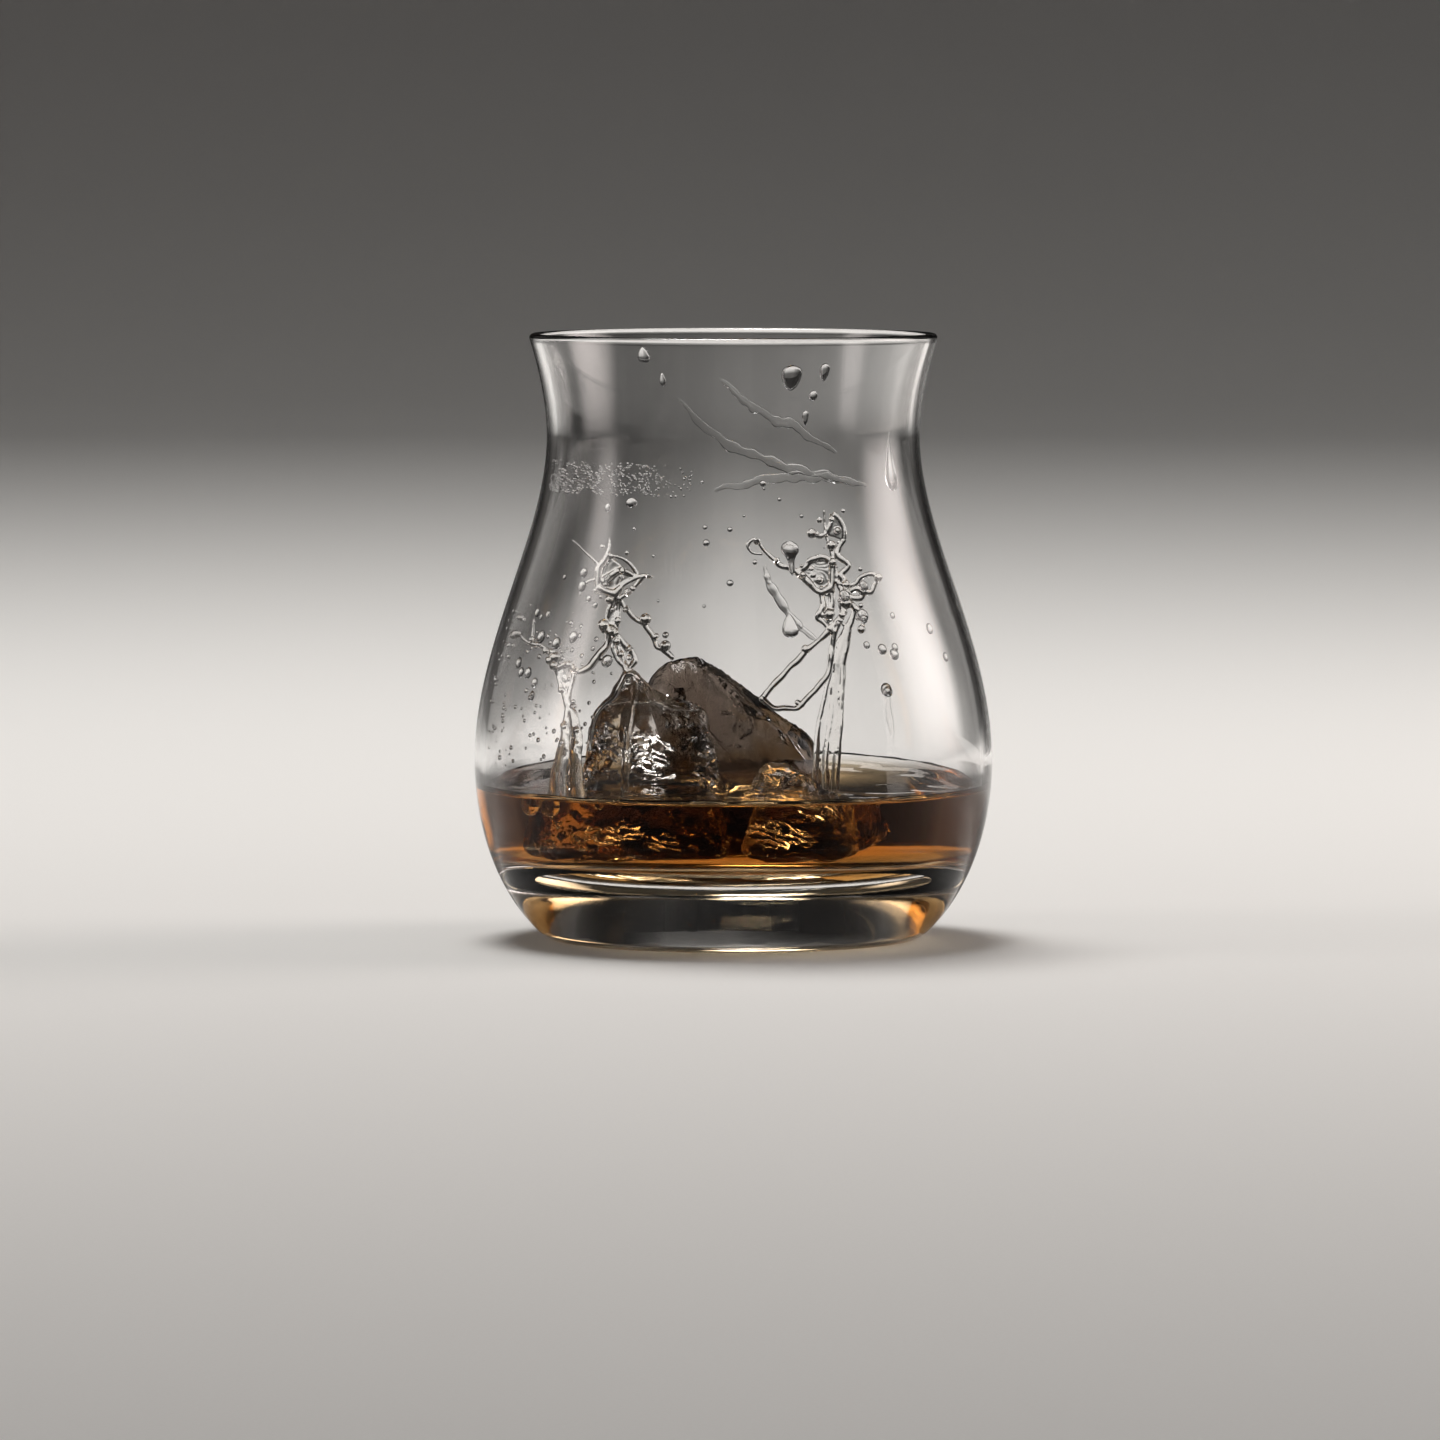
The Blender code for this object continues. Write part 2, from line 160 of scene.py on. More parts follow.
def closedGrid(rings, sides):
    # faces between rings of points, each ring closed on itself
    faces = []
    for ring in range(rings):
        for side in range(sides):
            a = ring * sides + side
            b = ring * sides + (side + 1) % sides
            faces.append((a, b, b + sides, a + sides))
    return faces


def pieceFromMesh(name, mesh, material):
    # doubles merged first, then every face turned outwards
    bm = bmesh.new()
    bm.from_mesh(mesh)
    bmesh.ops.remove_doubles(bm, verts=bm.verts, dist=weld)
    bmesh.ops.recalc_face_normals(bm, faces=bm.faces)
    bm.to_mesh(mesh)
    bm.free()
    mesh.name = name
    mesh.materials.clear()
    mesh.materials.append(material)
    mesh.shade_smooth()
    piece = bpy.data.objects.new(name, mesh)
    scene.collection.objects.link(piece)
    return piece


def rawMesh(points, faces, edges=()):
    mesh = bpy.data.meshes.new("raw")
    mesh.from_pydata([tuple(p) for p in points], list(edges), list(faces))
    return mesh


def runNodes(mesh, tree, sizes):
    # sizes are set by socket identifier, before the first evaluation
    holder = bpy.data.objects.new("holder", mesh)
    scene.collection.objects.link(holder)
    modifier = holder.modifiers.new("nodes", "NODES")
    modifier.node_group = tree
    for item in tree.interface.items_tree:
        if item.in_out == "INPUT" and item.name in sizes:
            modifier[item.identifier] = sizes[item.name]
    graph = bpy.context.evaluated_depsgraph_get()
    made = bpy.data.meshes.new_from_object(holder.evaluated_get(graph))
    holder.modifiers.clear()
    bpy.data.objects.remove(holder)
    return made


def startTree(name, sockets):
    tree = bpy.data.node_groups.new(name, "GeometryNodeTree")
    tree.interface.new_socket("Geometry", in_out="INPUT", socket_type="NodeSocketGeometry")
    tree.interface.new_socket("Geometry", in_out="OUTPUT", socket_type="NodeSocketGeometry")
    for label, kind in sockets.items():
        tree.interface.new_socket(label, in_out="INPUT", socket_type="NodeSocket" + kind)
    return tree, addNode(tree, "NodeGroupInput").outputs


def endTree(tree, geometry, material):
    whole = addNode(tree, "GeometryNodeRealizeInstances", links={"Geometry": geometry})
    smooth = addNode(tree, "GeometryNodeSetShadeSmooth", links={"Geometry": whole.outputs[0]})
    dressed = addNode(tree, "GeometryNodeSetMaterial",
                      links={"Geometry": smooth.outputs[0], "Material": material})
    addNode(tree, "NodeGroupOutput", links={0: dressed.outputs[0]})


def settle(piece, body, slotName, *nodes):
    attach(piece, body)
    if nodes:
        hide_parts(*nodes)


# camera at the photograph's height and distance
photoView = {
    "centre": Vector((-2.3, 0.0, 37.5)) * mm,
    "stand": Vector((-2.3, -1750.0, 150.0)) * mm,
    "angle": 8.07,
}
lens = bpy.data.cameras.new("photoCamera")
lens.sensor_fit = "HORIZONTAL"
lens.angle = math.radians(photoView["angle"])
camera = bpy.data.objects.new("photoCamera", lens)
camera.location = photoView["stand"]
camera.rotation_euler = (photoView["centre"] - photoView["stand"]).to_track_quat("-Z", "Y").to_euler()
scene.collection.objects.link(camera)
scene.camera = camera
print("camera set")


# seamless paper sweep: matt, off white, the faintest tooth
sweep = {"flat": 2.4, "curve": 1.2, "height": 3.2, "floorRings": (0.0, 0.3, 1.2), "steps": 12, "sides": 96,
         "tints": ("#EAE8E5", "#F0EEEB"), "tooth": 0.6 * mm}


def paperSweep():
    made, tree, shader, place = startMaterial("seamlessPaper", {"Roughness": 0.85})
    mottle(tree, shader, place, sweep["tooth"], sweep["tints"])
    rings = [(r, 0.0) for r in sweep["floorRings"]]
    for step in range(sweep["steps"] + 1):
        turn = math.radians(90 * step / sweep["steps"])
        rings.append((sweep["flat"] + sweep["curve"] * math.sin(turn),
                      sweep["curve"] * (1 - math.cos(turn))))
    rings.append((sweep["flat"] + sweep["curve"], sweep["height"]))
    points = []
    for r, z in rings:
        for side in range(sweep["sides"]):
            turn = 2 * math.pi * side / sweep["sides"]
            points.append((r * math.cos(turn), r * math.sin(turn), z))
    faces = closedGrid(len(rings) - 1, sweep["sides"])
    floor = pieceFromMesh("paperSweep", rawMesh(points, faces), made)


paperSweep()


# soft boxes: one overhead, one tall strip at the left, one wide box at the right, all fading to their edges
lamps = {
    "overhead": {"at": (-0.25, 0.6, 2.0), "aim": (0, 0.5, 0), "size": (1.0, 1.0), "watts": 29.0,
                 "spread": 114.0, "colour": "#FFFEFC"},
    "leftStrip": {"at": (-0.92, -0.12, 0.45), "aim": (0, 0, 0.06), "size": (0.45, 1.0), "watts": 3.4,
                  "spread": 180.0, "colour": "#FFF6F2"},
    "rightBox": {"at": (0.93, 0.26, 0.45), "aim": (0, 0, 0.06), "size": (0.8, 1.0), "watts": 10.0,
                 "spread": 180.0, "colour": "#FFF4EF"},
}
fullFade = 16.0  # a share times the rest of it is a quarter at most, both across and along


def hangLamp(name):
    lamp = lamps[name]
    light = bpy.data.lights.new(name, "AREA")
    light.shape = "RECTANGLE"
    light.size, light.size_y = lamp["size"]
    light.energy = lamp["watts"]
    light.spread = math.radians(lamp["spread"])
    light.color = toLinear(lamp["colour"])[:3]
    light.use_nodes = True
    tree = light.node_tree
    shares = splitVector(tree, addNode(tree, "ShaderNodeNewGeometry").outputs["Parametric"])
    fades = []
    for share in shares[:2]:
        fades.append(maths(tree, "MULTIPLY", share, maths(tree, "SUBTRACT", 1.0, share)))
    even = maths(tree, "MULTIPLY", maths(tree, "MULTIPLY", *fades), fullFade)
    tree.links.new(even, tree.nodes["Emission"].inputs["Strength"])
    holder = bpy.data.objects.new(name, light)
    holder.location = lamp["at"]
    holder.rotation_euler = (Vector(lamp["aim"]) - Vector(lamp["at"])).to_track_quat("-Z", "Y").to_euler()
    holder.visible_camera = False
    scene.collection.objects.link(holder)


for lampName in lamps:
    hangLamp(lampName)

# dark cards that only the glass sees: a ring that draws its edges, with a gap for the right box,
# a wide one at the back left, one far behind that darkens the pool's mirror, and three on the floor
standing = [{"turn": turn, "away": 0.55, "width": 0.22, "low": 0.001, "high": 0.95, "foot": 1.0}
            for turn in (22.5, 112.5, 157.5, 202.5, 247.5, 292.5)]
standing.append({"turn": 345.0, "away": 0.55, "width": 0.30, "low": 0.001, "high": 0.95, "foot": 0.0})
standing.append({"turn": 0.0, "away": 1.2, "width": 0.9, "low": 0.09, "high": 0.75, "foot": 1.0})
lying = [{"turns": (55.0, 305.0), "near": 0.034, "far": 2.0, "cover": 1.0},
         {"turns": (-60.0, -9.0), "near": 0.034, "far": 0.26, "cover": 0.9},
         {"turns": (17.0, 60.0), "near": 0.034, "far": 0.26, "cover": 0.9}]
cardLook = {"steps": 10, "lift": 0.4 * mm, "felt": 2 * mm, "tints": ("#0C0C0C", "#161616"),
            "sideFade": 0.6, "topFade": 8, "footFade": 6, "flatSideFade": 0.5, "flatFarFade": 3}


def cardGrid(points, covers, faces, place, coverAt):
    # one card as a grid, with how much it covers at each point
    steps = cardLook["steps"]
    faces.extend(openGrid(steps, steps, len(points)))
    for i in range(steps + 1):
        for k in range(steps + 1):
            points.append(place(i / steps, k / steps))
            covers.append(coverAt(i / steps, k / steps))


def addStanding(card, points, covers, faces):
    c = cardLook
    turn = math.radians(card["turn"])
    out = Vector((math.sin(turn), math.cos(turn), 0)) * card["away"]
    along = Vector((out.y, -out.x, 0)).normalized() * card["width"]

    def upright(i, k):
        return out + along * (i - 0.5) + Vector((0, 0, between(card["low"], card["high"], k ** 2)))

    def cover(i, k):
        foot = min(1.0, card["foot"] + c["footFade"] * k)
        return math.sin(math.pi * i) ** c["sideFade"] * (1 - k ** c["topFade"]) * foot

    cardGrid(points, covers, faces, upright, cover)


def addLying(card, points, covers, faces):
    c = cardLook

    def flat(i, k):
        turn = math.radians(between(*card["turns"], i))
        r = between(card["near"], card["far"], k ** 2)
        return Vector((r * math.sin(turn), r * math.cos(turn), c["lift"]))

    def cover(i, k):
        return card["cover"] * math.sin(math.pi * i) ** c["flatSideFade"] * (1 - k ** c["flatFarFade"])

    cardGrid(points, covers, faces, flat, cover)


def edgeCards():
    made, tree, shader, place = startMaterial("blackCard", {"Roughness": 0.9})
    mottle(tree, shader, place, cardLook["felt"], cardLook["tints"])
    cover = addNode(tree, "ShaderNodeAttribute", {"attribute_name": "cover"})
    tree.links.new(cover.outputs["Fac"], shader.inputs["Alpha"])
    points = []
    covers = []
    faces = []
    for card in standing:
        addStanding(card, points, covers, faces)
    for card in lying:
        addLying(card, points, covers, faces)
    mesh = rawMesh(points, faces)
    markPoints(mesh, "cover", covers)
    ring = pieceFromMesh("edgeCards", mesh, made)
    ring.visible_camera = False
    ring.visible_diffuse = False
    ring.visible_shadow = False


edgeCards()

# a faint even light from all round, and rays long enough to cross glass, whisky and ice
world = bpy.data.worlds.new("studioAir")
world.use_nodes = True
world.node_tree.nodes["Background"].inputs["Color"].default_value = toLinear("#E6E8EC")
world.node_tree.nodes["Background"].inputs["Strength"].default_value = 0.05
scene.world = world
scene.view_settings.view_transform = "Standard"
scene.cycles.max_bounces = 32
scene.cycles.transmission_bounces = 32
scene.cycles.glossy_bounces = 12
print("stage and lamps set")


# crystal, blown and fire polished: clear and bright, with a slow ripple left by the blowing
crystalLook = {"ior": 1.52, "ripple": 22 * mm, "rippleDepth": 0.02 * mm}


def crystalGlass(name, gleam):
    made, tree, shader, place = startClear(name, crystalLook["ior"])
    shader.inputs["Specular Tint"].default_value = gleam
    roughen(tree, shader, place, crystalLook["ripple"], 1.0, crystalLook["rippleDepth"], 0.3)
    return made


# whisky from the cask: amber where thin, brown where deep, absorbing far more blue than red
whiskyLook = {"ior": 1.36, "colour": "#EFCB5E", "density": 64.0, "thrownDensity": 30.0,
              "streak": 3 * mm, "streakDepth": 0.03 * mm}


def caskWhisky(name, density, inGlass):
    made, tree, shader, place = startClear(name, whiskyLook["ior"])
    if inGlass:
        # head on it mirrors only where it meets air, not where it wets the glass
        bare = addNode(tree, "ShaderNodeAttribute", {"attribute_name": "bare"})
        tree.links.new(bare.outputs["Fac"], shader.inputs["Specular Tint"])
    roughen(tree, shader, place, whiskyLook["streak"], 3.0, whiskyLook["streakDepth"], 0.25)
    absorb(tree, whiskyLook["colour"], density)
    return made


# ice hacked from a block and half melted: wet, scalloped, with crinkles that break up the light, and a
# brownish absorption that is painted shade
iceLook = {"ior": 1.31, "scallop": 5.0 * mm, "crinkleDepth": 0.2 * mm}


def meltingIce(name, colour, density, crinkle, frosting):
    made, tree, shader, place = startClear(name, iceLook["ior"])
    cloud = addNode(tree, "ShaderNodeTexNoise", values={"Scale": 1 / iceLook["scallop"], "Detail": 3.0},
                    links={"Vector": place})
    frost = addNode(tree, "ShaderNodeMapRange",
                    values={"From Min": 0.45, "From Max": 0.75, "To Min": 0.0, "To Max": frosting},
                    links={"Value": cloud.outputs["Fac"]})
    tree.links.new(frost.outputs["Result"], shader.inputs["Roughness"])
    roughen(tree, shader, place, crinkle, 3.0, iceLook["crinkleDepth"], 0.6, 1.2)
    # painted shade: the absorption colour and density darken the clear ice to stand in for the dark
    # surroundings it would show
    absorb(tree, colour, density)
    return made


# beads of thrown whisky and water on the wall: nearly clear little lenses
waterLook = {"ior": 1.34, "ripple": 1.2 * mm, "rippleDepth": 0.02 * mm}


def wallWater():
    made, tree, shader, place = startClear("clingingWater", waterLook["ior"])
    roughen(tree, shader, place, waterLook["ripple"], 1.0, waterLook["rippleDepth"], 0.2)
    return made


fullGleam = (1, 1, 1, 1)
noGleam = (0, 0, 0, 1)  # glass and whisky that touch mirror almost nothing head on
crystal = crystalGlass("blownCrystal", fullGleam)
crystalWet = crystalGlass("wettedCrystal", noGleam)
whiskyDeep = caskWhisky("caskWhisky", whiskyLook["density"], True)
whiskyThrown = caskWhisky("thrownWhisky", whiskyLook["thrownDensity"], False)
# painted shade: a grey-brown absorption darkens the left and right rocks
iceShadeTinted = meltingIce("shadeTintedIce", "#A3917A", 52.0, 2.4 * mm, 0.05)
# painted shade: a dense dark-brown absorption makes the back rock's dome near black
iceDeepShade = meltingIce("deepShadeIce", "#957C60", 205.0, 4.0 * mm, 0.03)
water = wallWater()
print("materials made")


# the tumbler: foot, belly, waist and flared rim, turned from one profile
low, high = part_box("glass_body")
tumbler = {
    "foot": 32.0 * mm, "ring": 6.4 * mm, "edge": 1.2 * mm, "punt": 1.4 * mm,
    "belly": high.x, "bellyHeight": 30.5 * mm, "waist": 32.0 * mm, "waistHeight": 86.5 * mm,
    "rim": 35.0 * mm, "height": high.z,
    "bellyReach": 20.5 * mm, "waistReach": 17.0 * mm, "flareReach": 7.0 * mm, "lowerCurve": 60.0,
    "rimWall": 1.65 * mm, "waistWall": 1.8 * mm, "bellyWall": 1.9 * mm,
    "floor": 12.0 * mm, "squareness": 4.5, "corner": 0.93,
    "steps": 44, "sides": 192, "puntSteps": 10, "edgeSteps": 8, "lipSteps": 16,
}
bowl = tumbler["belly"] - tumbler["bellyWall"]


def bezier(points, share):
    while len(points) > 1:
        points = [between(a, b, share) for a, b in zip(points, points[1:])]
    return points[0]


def upperWall(bellyRadius, waistRadius, rimRadius):
    # belly to waist, then the flare to the rim
    t = tumbler
    shoulder = [Vector((bellyRadius, t["bellyHeight"])),
                Vector((bellyRadius, t["bellyHeight"] + t["bellyReach"])),
                Vector((waistRadius, t["waistHeight"] - t["waistReach"])),
                Vector((waistRadius, t["waistHeight"]))]
    flare = [Vector((waistRadius, t["waistHeight"])),
             Vector((waistRadius, t["waistHeight"] + t["flareReach"])),
             Vector((rimRadius, t["height"] - t["rimWall"] / 2))]
    run = [bezier(shoulder, i / t["steps"]) for i in range(t["steps"])]
    return run + [bezier(flare, i / t["steps"]) for i in range(t["steps"] + 1)]


def bowlPoint(radius, floor, z):
    # half width of the rounded bowl at a height
    depth = tumbler["bellyHeight"] - floor
    share = max(0.0, 1 - ((tumbler["bellyHeight"] - z) / depth) ** tumbler["squareness"])
    return Vector((radius * share ** (1 / tumbler["squareness"]), z))


def bowlRun(radius, floor, top):
    # the rounded bowl inside, from the floor's centre out to the corner and up to a height
    depth = tumbler["bellyHeight"] - floor
    power = tumbler["squareness"]
    half = tumbler["steps"] // 2
    run = []
    for i in range(half + 1):
        share = tumbler["corner"] * i / half
        height = tumbler["bellyHeight"] - depth * (1 - share ** power) ** (1 / power)
        run.append(Vector((radius * share, height)))
    foot = run[-1].y
    return run + [bowlPoint(radius, floor, between(foot, top, (i + 1) / half)) for i in range(half)]


def tumblerProfile():
    t = tumbler
    ringInside = t["foot"] - t["ring"]
    run = []
    for i in range(t["puntSteps"] + 1):
        share = i / t["puntSteps"]
        run.append(Vector((ringInside * share, t["punt"] * (1 - share ** 2))))
    across = (t["belly"] - t["foot"]) / (1 - math.cos(math.radians(t["lowerCurve"])))
    down = t["bellyHeight"] / math.sin(math.radians(t["lowerCurve"]))
    lower = []
    for i in range(t["steps"] + 1):
        turn = math.radians(t["lowerCurve"]) * (1 - i / t["steps"])
        lower.append(Vector((t["belly"] - across * (1 - math.cos(turn)),
                             t["bellyHeight"] - down * math.sin(turn))))
    # a small rounded edge where the foot turns up
    lower = [p for p in lower if p.y > t["edge"]]
    corner = [Vector((t["foot"] - t["edge"], 0)), Vector((t["foot"], 0)), lower[0]]
    run += [bezier(corner, i / t["edgeSteps"]) for i in range(t["edgeSteps"])]
    run += lower[:-1]
    outer = upperWall(t["belly"], t["waist"], t["rim"])
    inner = upperWall(bowl, t["waist"] - t["waistWall"], t["rim"] - t["rimWall"])
    run += outer[:-1]
    lipCentre = (outer[-1] + inner[-1]) / 2
    for i in range(t["lipSteps"] + 1):
        turn = math.pi * i / t["lipSteps"]
        run.append(lipCentre + Vector((math.cos(turn), math.sin(turn))) * t["rimWall"] / 2)
    run += inner[-2::-1]
    run += bowlRun(bowl, t["floor"], t["bellyHeight"])[-2::-1]
    return run


def turningTree():
    # sweeps a profile in the XZ plane round the Z axis
    tree, given = startTree("turnedPiece", {"Sides": "Int", "Finish": "Material"})
    count = addNode(tree, "GeometryNodeAttributeDomainSize", links={"Geometry": given["Geometry"]})
    stations = maths(tree, "ADD", given["Sides"], 1.0)
    grid = addNode(tree, "GeometryNodeMeshGrid",
                   links={"Vertices X": count.outputs["Point Count"], "Vertices Y": stations})
    index = addNode(tree, "GeometryNodeInputIndex").outputs[0]
    row = maths(tree, "FLOOR", maths(tree, "DIVIDE", index, stations))
    column = maths(tree, "MODULO", index, stations)
    turn = maths(tree, "MULTIPLY", maths(tree, "DIVIDE", column, given["Sides"]), 2 * math.pi)
    sample = addNode(tree, "GeometryNodeSampleIndex", {"data_type": "FLOAT_VECTOR", "domain": "POINT"},
                     links={"Geometry": given["Geometry"], "Value": pointPosition(tree), "Index": row})
    profile = splitVector(tree, sample.outputs[0])
    x = maths(tree, "MULTIPLY", profile[0], maths(tree, "COSINE", turn))
    y = maths(tree, "MULTIPLY", profile[0], maths(tree, "SINE", turn))
    turned = moveTo(tree, grid.outputs["Mesh"], joinVector(tree, {0: x, 1: y, 2: profile[2]}))
    closed = addNode(tree, "GeometryNodeMergeByDistance", values={"Distance": weld},
                     links={"Geometry": turned})
    endTree(tree, closed.outputs[0], given["Finish"])
    return tree


def makeTumbler():
    profile = [Vector((p.x, 0, p.y)) for p in tumblerProfile()]
    mesh = runNodes(rawMesh(profile, []), turningTree(), {"Sides": tumbler["sides"], "Finish": crystal})
    glass = pieceFromMesh("crystalTumbler", mesh, crystal)
    glass.data.materials.append(crystalWet)
    settle(glass, drinkBody, "crystal", "glass_body")
    return glass


glass = makeTumbler()
print("tumbler turned")

wallRun = bowlRun(bowl, tumbler["floor"], tumbler["bellyHeight"])[:-1]
wallRun += upperWall(bowl, tumbler["waist"] - tumbler["waistWall"], tumbler["rim"] - tumbler["rimWall"])
wallHeights = [p.y for p in wallRun]


def innerWall(z):
    # radius and lean of the inside wall at a height
    first = min(max(bisect.bisect(wallHeights, z) - 1, 0), len(wallRun) - 2)
    a, b = wallRun[first], wallRun[first + 1]
    lean = (b.x - a.x) / (b.y - a.y)
    return a.x + lean * (z - a.y), lean


def onWall(angle, z, proud):
    # a point on the inside wall, angle counted from the front towards +X, proud of the wall by that much
    radius, lean = innerWall(z)
    tilt = math.hypot(1, lean)
    out = radius - proud / tilt
    return Vector((out * math.sin(angle), -out * math.cos(angle), z + proud * lean / tilt))


# the pool: sloshed up at the back, swelling round the ice, with a meniscus at the wall
rockNodes = {"left": "ice_rock_left", "back": "ice_rock_back", "right": "ice_rock_right"}
rockBoxes = {name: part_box(node) for name, node in rockNodes.items()}
pool = {
    "level": 25.6 * mm, "backRise": 2.8 * mm, "bite": 0.13 * mm,
    "meniscus": 1.1 * mm, "meniscusReach": 1.0 * mm, "bare": 0.1 * mm,
    "ripple": 0.12 * mm, "rippleLength": 10.0 * mm, "rippleStretch": Vector((1, 1.7, 1)), "chop": 0.5,
    "chopScale": 2.3, "fade": 7.0 * mm, "ragged": 0.25 * mm, "raggedWaves": 6,
    "swell": {"left": 1.6 * mm, "back": 1.2 * mm, "right": 1.0 * mm}, "swellInset": 0.7, "swellFall": 4,
    "sides": 176, "rings": 56, "crowding": 1.8,
}
wetting = {"floor": 0.1 * mm, "reach": 0.3 * mm, "climb": 0.8}


def poolHeight(x, y):
    p = pool
    height = p["level"] + p["backRise"] * ((1 + y / bowl) / 2) ** 2
    fromWall = max(0.0, bowl - math.hypot(x, y))
    calm = min(1.0, fromWall / p["fade"])
    at = Vector((x, y, 0)) / p["rippleLength"]
    waves = noise.noise(at * p["rippleStretch"]) + p["chop"] * noise.noise(at * p["chopScale"])
    height += calm * p["ripple"] * waves
    for name, (boxLow, boxHigh) in rockBoxes.items():
        middle = (boxLow + boxHigh) / 2
        reach = (boxHigh - boxLow) / 2
        away = math.hypot((x - middle.x) / reach.x, (y - middle.y) / reach.y)
        height += calm * p["swell"][name] * math.exp(-max(0.0, away - p["swellInset"]) ** 2 * p["swellFall"])
    return height


def poolRow(turn, floor):
    # one slice of the pool: up the wall to the shore, then in over the surface
    p = pool
    ux, uy = math.cos(turn), math.sin(turn)
    shore = poolHeight(ux * bowl, uy * bowl) + p["meniscus"]
    shore += p["ragged"] * noise.noise(Vector((ux, uy, 0)) * p["raggedWaves"])
    row = [Vector((ux * q.x, uy * q.x, q.y)) for q in bowlRun(bowl + p["bite"], floor, shore)[1:]]
    edge = row[-1].xy.length
    for i in range(1, p["rings"]):
        # rings crowd towards the wall, where the meniscus climbs
        r = edge * (1 - (i / p["rings"]) ** p["crowding"])
        climb = p["meniscus"] * math.exp(-(edge - r) / p["meniscusReach"])
        row.append(Vector((ux * r, uy * r, poolHeight(ux * r, uy * r) + climb)))
    return row


def markBare(mesh):
    # 1 where the whisky meets air, 0 where it wets the glass
    marks = []
    for vertex in mesh.vertices:
        fromWall = innerWall(vertex.co.z)[0] - vertex.co.xy.length
        above = vertex.co.z - pool["level"]
        marks.append(float(fromWall > pool["bare"] and above > -pool["bare"]))
    markPoints(mesh, "bare", marks)


def makePool():
    sides = pool["sides"]
    floor = tumbler["floor"] - pool["bite"]
    rows = [poolRow(2 * math.pi * side / sides, floor) for side in range(sides)]
    points = [Vector((0, 0, floor)), Vector((0, 0, poolHeight(0, 0)))]
    count = len(rows[0])
    for row in rows:
        points.extend(row)
    faces = []
    for side in range(sides):
        a = 2 + side * count
        b = 2 + (side + 1) % sides * count
        faces.append((0, b, a))
        for i in range(count - 1):
            faces.append((a + i, b + i, b + i + 1, a + i + 1))
        faces.append((1, a + count - 1, b + count - 1))
    piece = pieceFromMesh("whiskyPool", rawMesh(points, faces), whiskyDeep)
    markBare(piece.data)
    settle(piece, drinkBody, "whisky", "whisky")


def wetWall():
    # the inside of the glass below the shore takes the wetted finish
    for face in glass.data.polygons:
        x, y, z = face.center
        away = math.hypot(x, y)
        if z > tumbler["floor"] - wetting["floor"] and away < innerWall(z)[0] + wetting["reach"]:
            if z < poolHeight(x / away * bowl, y / away * bowl) + pool["meniscus"] * wetting["climb"]:
                face.material_index = 1


makePool()
wetWall()
print("whisky poured")


# the rocks of ice: hulls of rounded corners, then scalloped by melting
flatBase = [(-1, -1, 0), (1, -1, 0), (1, 1, 0), (-1, 1, 0)]
rocks = {
    "left": {"body": "ice_left", "round": 2.4 * mm, "finish": iceShadeTinted, "scallop": 1.4 * mm,
             "cell": 7.0 * mm, "grain": 0.12 * mm, "seed": 3.0, "fan": 14 * mm, "furrow": 1.1 * mm,
             "furrowWidth": 2.4 * mm, "apex": (-17.8 * mm, 0, 46.0 * mm),
             "tops": [(-0.82, -0.2, 0.76), (-0.43, -0.55, 1.0), (0.66, -0.25, 0.84), (-0.05, 0.8, 0.92)]},
    "back": {"body": "ice_back", "round": 7.0 * mm, "finish": iceDeepShade, "scallop": 1.2 * mm,
             "cell": 8.5 * mm, "grain": 0.06 * mm, "seed": 11.0, "fan": 45 * mm, "furrow": 0.9 * mm,
             "furrowWidth": 2.8 * mm, "apex": (-20.0 * mm, 0, 70.0 * mm),
             "tops": [(-1.0, -0.1, 0.86), (-0.95, 0.35, 0.97), (-0.2, -0.5, 0.73), (0.84, 0.0, 0.36)]},
    "right": {"body": "ice_right", "round": 3.6 * mm, "finish": iceShadeTinted, "scallop": 1.2 * mm,
              "cell": 4.5 * mm, "grain": 0.2 * mm, "seed": 23.0, "fan": 14 * mm, "furrow": 0.8 * mm,
              "furrowWidth": 2.4 * mm, "apex": (5.0 * mm, 0, 36.0 * mm),
              "tops": [(-0.5, -0.2, 0.9), (0.9, 0.2, 0.6), (0.4, -0.7, 0.72)]},
}
rockLook = {"voxel": 0.45 * mm, "softening": 6, "ball": 3, "brink": 0.6, "grainLength": 1.6 * mm,
            "fanDrop": 0.2, "patch": 0.7, "patchSpread": 1.4, "patchLength": 9 * mm}

# air-filled cracks in the ice, at which light turns back:
# middle (mm), width across, length up the slope, tilt of the slope and roll, in degrees
cracks = {
    "left": [((-15.0, -2.3, 32.0), 11.0, 12.0, 38, 0), ((-21.0, -2.4, 33.0), 5.0, 8.0, 40, -14),
             ((-13.0, -3.6, 27.4), 9.0, 4.5, 37, -5), ((-17.0, -2.6, 20.3), 11.5, 9.5, 36, 8),
             ((-9.0, -3.0, 18.6), 6.0, 7.5, 36, -8)],
    "back": [((-4.0, 11.8, 34.0), 10.0, 2.6, 40, -42), ((10.0, 11.8, 32.6), 9.0, 2.0, 38, -46)],
    "right": [((7.0, -8.8, 20.0), 9.5, 8.5, 37, -8), ((11.0, -8.4, 24.0), 5.0, 5.0, 38, -12)],
}
crackLook = {"thick": 0.16 * mm, "wave": 0.2 * mm, "waveLength": 1.9 * mm, "wander": 0.45 * mm,
             "wanderLength": 2.8 * mm, "ragged": 0.9, "raggedWaves": 1.9, "skew": 0.45, "bend": 3.5,
             "rings": 26, "sides": 72}


